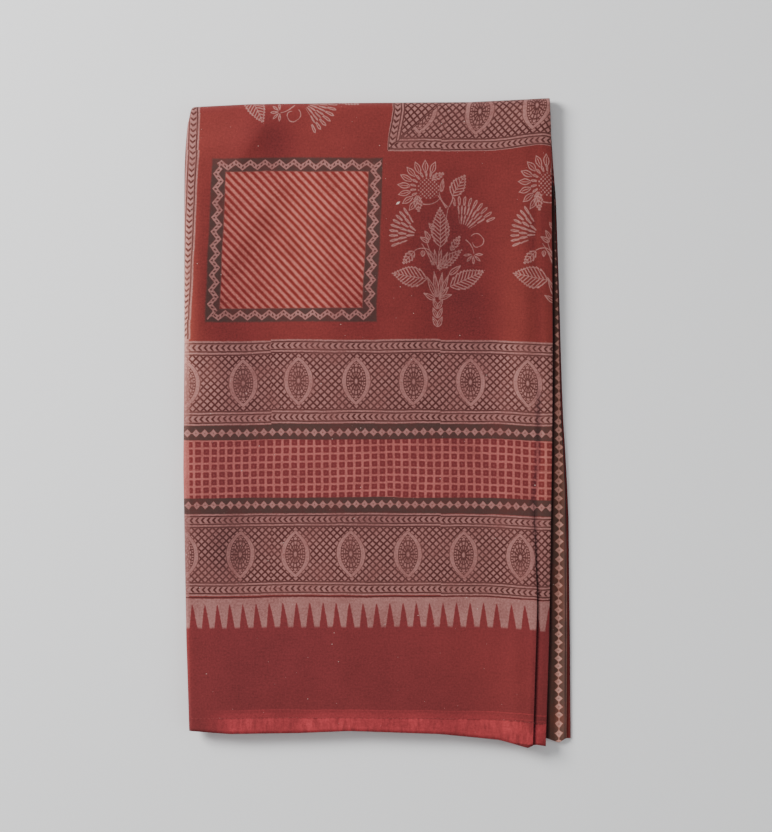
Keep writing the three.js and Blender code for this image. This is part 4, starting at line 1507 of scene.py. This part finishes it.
stitch_path = bpy.data.meshes.new("stitch_path")
before, beyond = stitch_lines()
links = [(i, i + 1) for i in range(len(before) + len(beyond) - 1) if i != len(before) - 1]
stitch_path.from_pydata(before + beyond, links, [])
stitches = bpy.data.objects.new("hem_stitches", stitch_path)
bpy.context.scene.collection.objects.link(stitches)

machine = bpy.data.node_groups.new("sewing_machine", "GeometryNodeTree")
machine.interface.new_socket("Path", in_out="INPUT", socket_type="NodeSocketGeometry")
for label in STITCHES:
    machine.interface.new_socket(label, in_out="INPUT", socket_type="NodeSocketFloat")
machine.interface.new_socket("Thread", in_out="INPUT", socket_type="NodeSocketMaterial")
machine.interface.new_socket("Stitches", in_out="OUTPUT", socket_type="NodeSocketGeometry")


def fit(kind, **fed_by):
    """A part of the machine, with the outputs that are fed into its named inputs."""
    made = machine.nodes.new(kind)
    for name, output in fed_by.items():
        machine.links.new(output, made.inputs[name])
    return made


fed = fit("NodeGroupInput").outputs
line = fit("GeometryNodeMeshToCurve", Mesh=fed["Path"])
evenly = fit("GeometryNodeResampleCurve", Curve=line.outputs["Curve"])
evenly.mode = "LENGTH"
stitch_pitch = Amount(fed["Stitch Length"]) + Amount(fed["Stitch Gap"])
machine.links.new(stitch_pitch.socket, evenly.inputs["Length"])
ahead = fit("FunctionNodeAlignRotationToVector", Vector=fit("GeometryNodeInputTangent").outputs[0])
ahead.axis = "X"
uneven = fit("FunctionNodeRandomValue")
uneven.inputs[2].default_value, uneven.inputs[3].default_value = STITCH_UNEVEN
uneven.inputs["Seed"].default_value = STITCH_SEED
half_length = Amount(fed["Stitch Length"]) * Amount(uneven.outputs[1]) * 0.5
half_width, half_height = [Amount(fed["Thread Width"]) * share for share in (0.5, 0.4)]
size = fit("ShaderNodeCombineXYZ", X=half_length.socket, Y=half_width.socket, Z=half_height.socket)
one_stitch = fit("GeometryNodeMeshUVSphere")
for name, amount in ROUND_STITCH.items():
    one_stitch.inputs[name].default_value = amount
sewn = fit("GeometryNodeInstanceOnPoints", Points=evenly.outputs["Curve"],
           Instance=one_stitch.outputs["Mesh"], Rotation=ahead.outputs["Rotation"], Scale=size.outputs[0])
real = fit("GeometryNodeRealizeInstances", Geometry=sewn.outputs["Instances"])
coloured = fit("GeometryNodeSetMaterial", Geometry=real.outputs["Geometry"], Material=fed["Thread"])
fit("NodeGroupOutput", Stitches=coloured.outputs["Geometry"])

sewing = stitches.modifiers.new("sewing", "NODES")
sewing.node_group = machine
for socket in machine.interface.items_tree:
    if socket.in_out == "INPUT" and socket.name in STITCHES:
        sewing[socket.identifier] = STITCHES[socket.name]
    if socket.name == "Thread":
        sewing[socket.identifier] = thread
state = bpy.context.evaluated_depsgraph_get()
stitch_mesh = bpy.data.meshes.new_from_object(stitches.evaluated_get(state), depsgraph=state)
stitches.modifiers.clear()
stitches.data = stitch_mesh
stitch_mesh.polygons.foreach_set("use_smooth", [True] * len(stitch_mesh.polygons))

for piece in (sheet, stitches):
    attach(piece, "root")
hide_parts("bed_sheet")


# The floor, the light and the camera
# A plain pale floor under soft studio light, seen from straight above as in the photograph.

PHOTO_WIDTH = 772
PIXEL = 0.00108
PHOTO_CENTRE = (0.0092, 0.0072)
CAMERA_HEIGHT = 3.0
FILM = 36.0

floor_mesh = bpy.data.meshes.new("floor")
floor_mesh.from_pydata([(-4, -4, 0), (4, -4, 0), (4, 4, 0), (-4, 4, 0)], [], [(0, 1, 2, 3)])
floor = bpy.data.objects.new("floor", floor_mesh)
bpy.context.scene.collection.objects.link(floor)
floor_paint = bpy.data.materials.new("pale_floor")
floor_paint.use_nodes = True
floor_shader = floor_paint.node_tree.nodes["Principled BSDF"]
floor_shader.inputs["Base Color"].default_value = (0.96, 0.96, 0.96, 1)
floor_shader.inputs["Roughness"].default_value = 0.9
floor_mesh.materials.append(floor_paint)

LIGHTS = [
    dict(name="key", place=(-2.2, 1.25, 1.75), size=1.3, power=144.0),
    dict(name="fill", place=(2.0, -0.6, 1.8), size=2.0, power=14.0),
    dict(name="top", place=(-0.2, 0.3, 3.4), size=2.6, power=8.0),
]
for entry in LIGHTS:
    lamp = bpy.data.lights.new(entry["name"], "AREA")
    lamp.size = entry["size"]
    lamp.energy = entry["power"]
    lamp_object = bpy.data.objects.new(entry["name"], lamp)
    lamp_object.location = entry["place"]
    lamp_object.rotation_euler = (-Vector(entry["place"])).to_track_quat("-Z", "Y").to_euler()
    bpy.context.scene.collection.objects.link(lamp_object)

studio = bpy.data.worlds.new("studio")
studio.use_nodes = True
studio_light = studio.node_tree.nodes["Background"]
studio_light.inputs["Color"].default_value = (0.95, 0.97, 1.0, 1)
studio_light.inputs["Strength"].default_value = 0.28
bpy.context.scene.world = studio

lens = bpy.data.cameras.new("camera")
lens.sensor_fit = "HORIZONTAL"
lens.sensor_width = FILM
lens.lens = FILM * (CAMERA_HEIGHT - OUT * 2) / (PHOTO_WIDTH * PIXEL)
camera = bpy.data.objects.new("camera", lens)
camera.location = (PHOTO_CENTRE[0] + shift.x, PHOTO_CENTRE[1] + shift.y, CAMERA_HEIGHT)
bpy.context.scene.collection.objects.link(camera)
bpy.context.scene.camera = camera
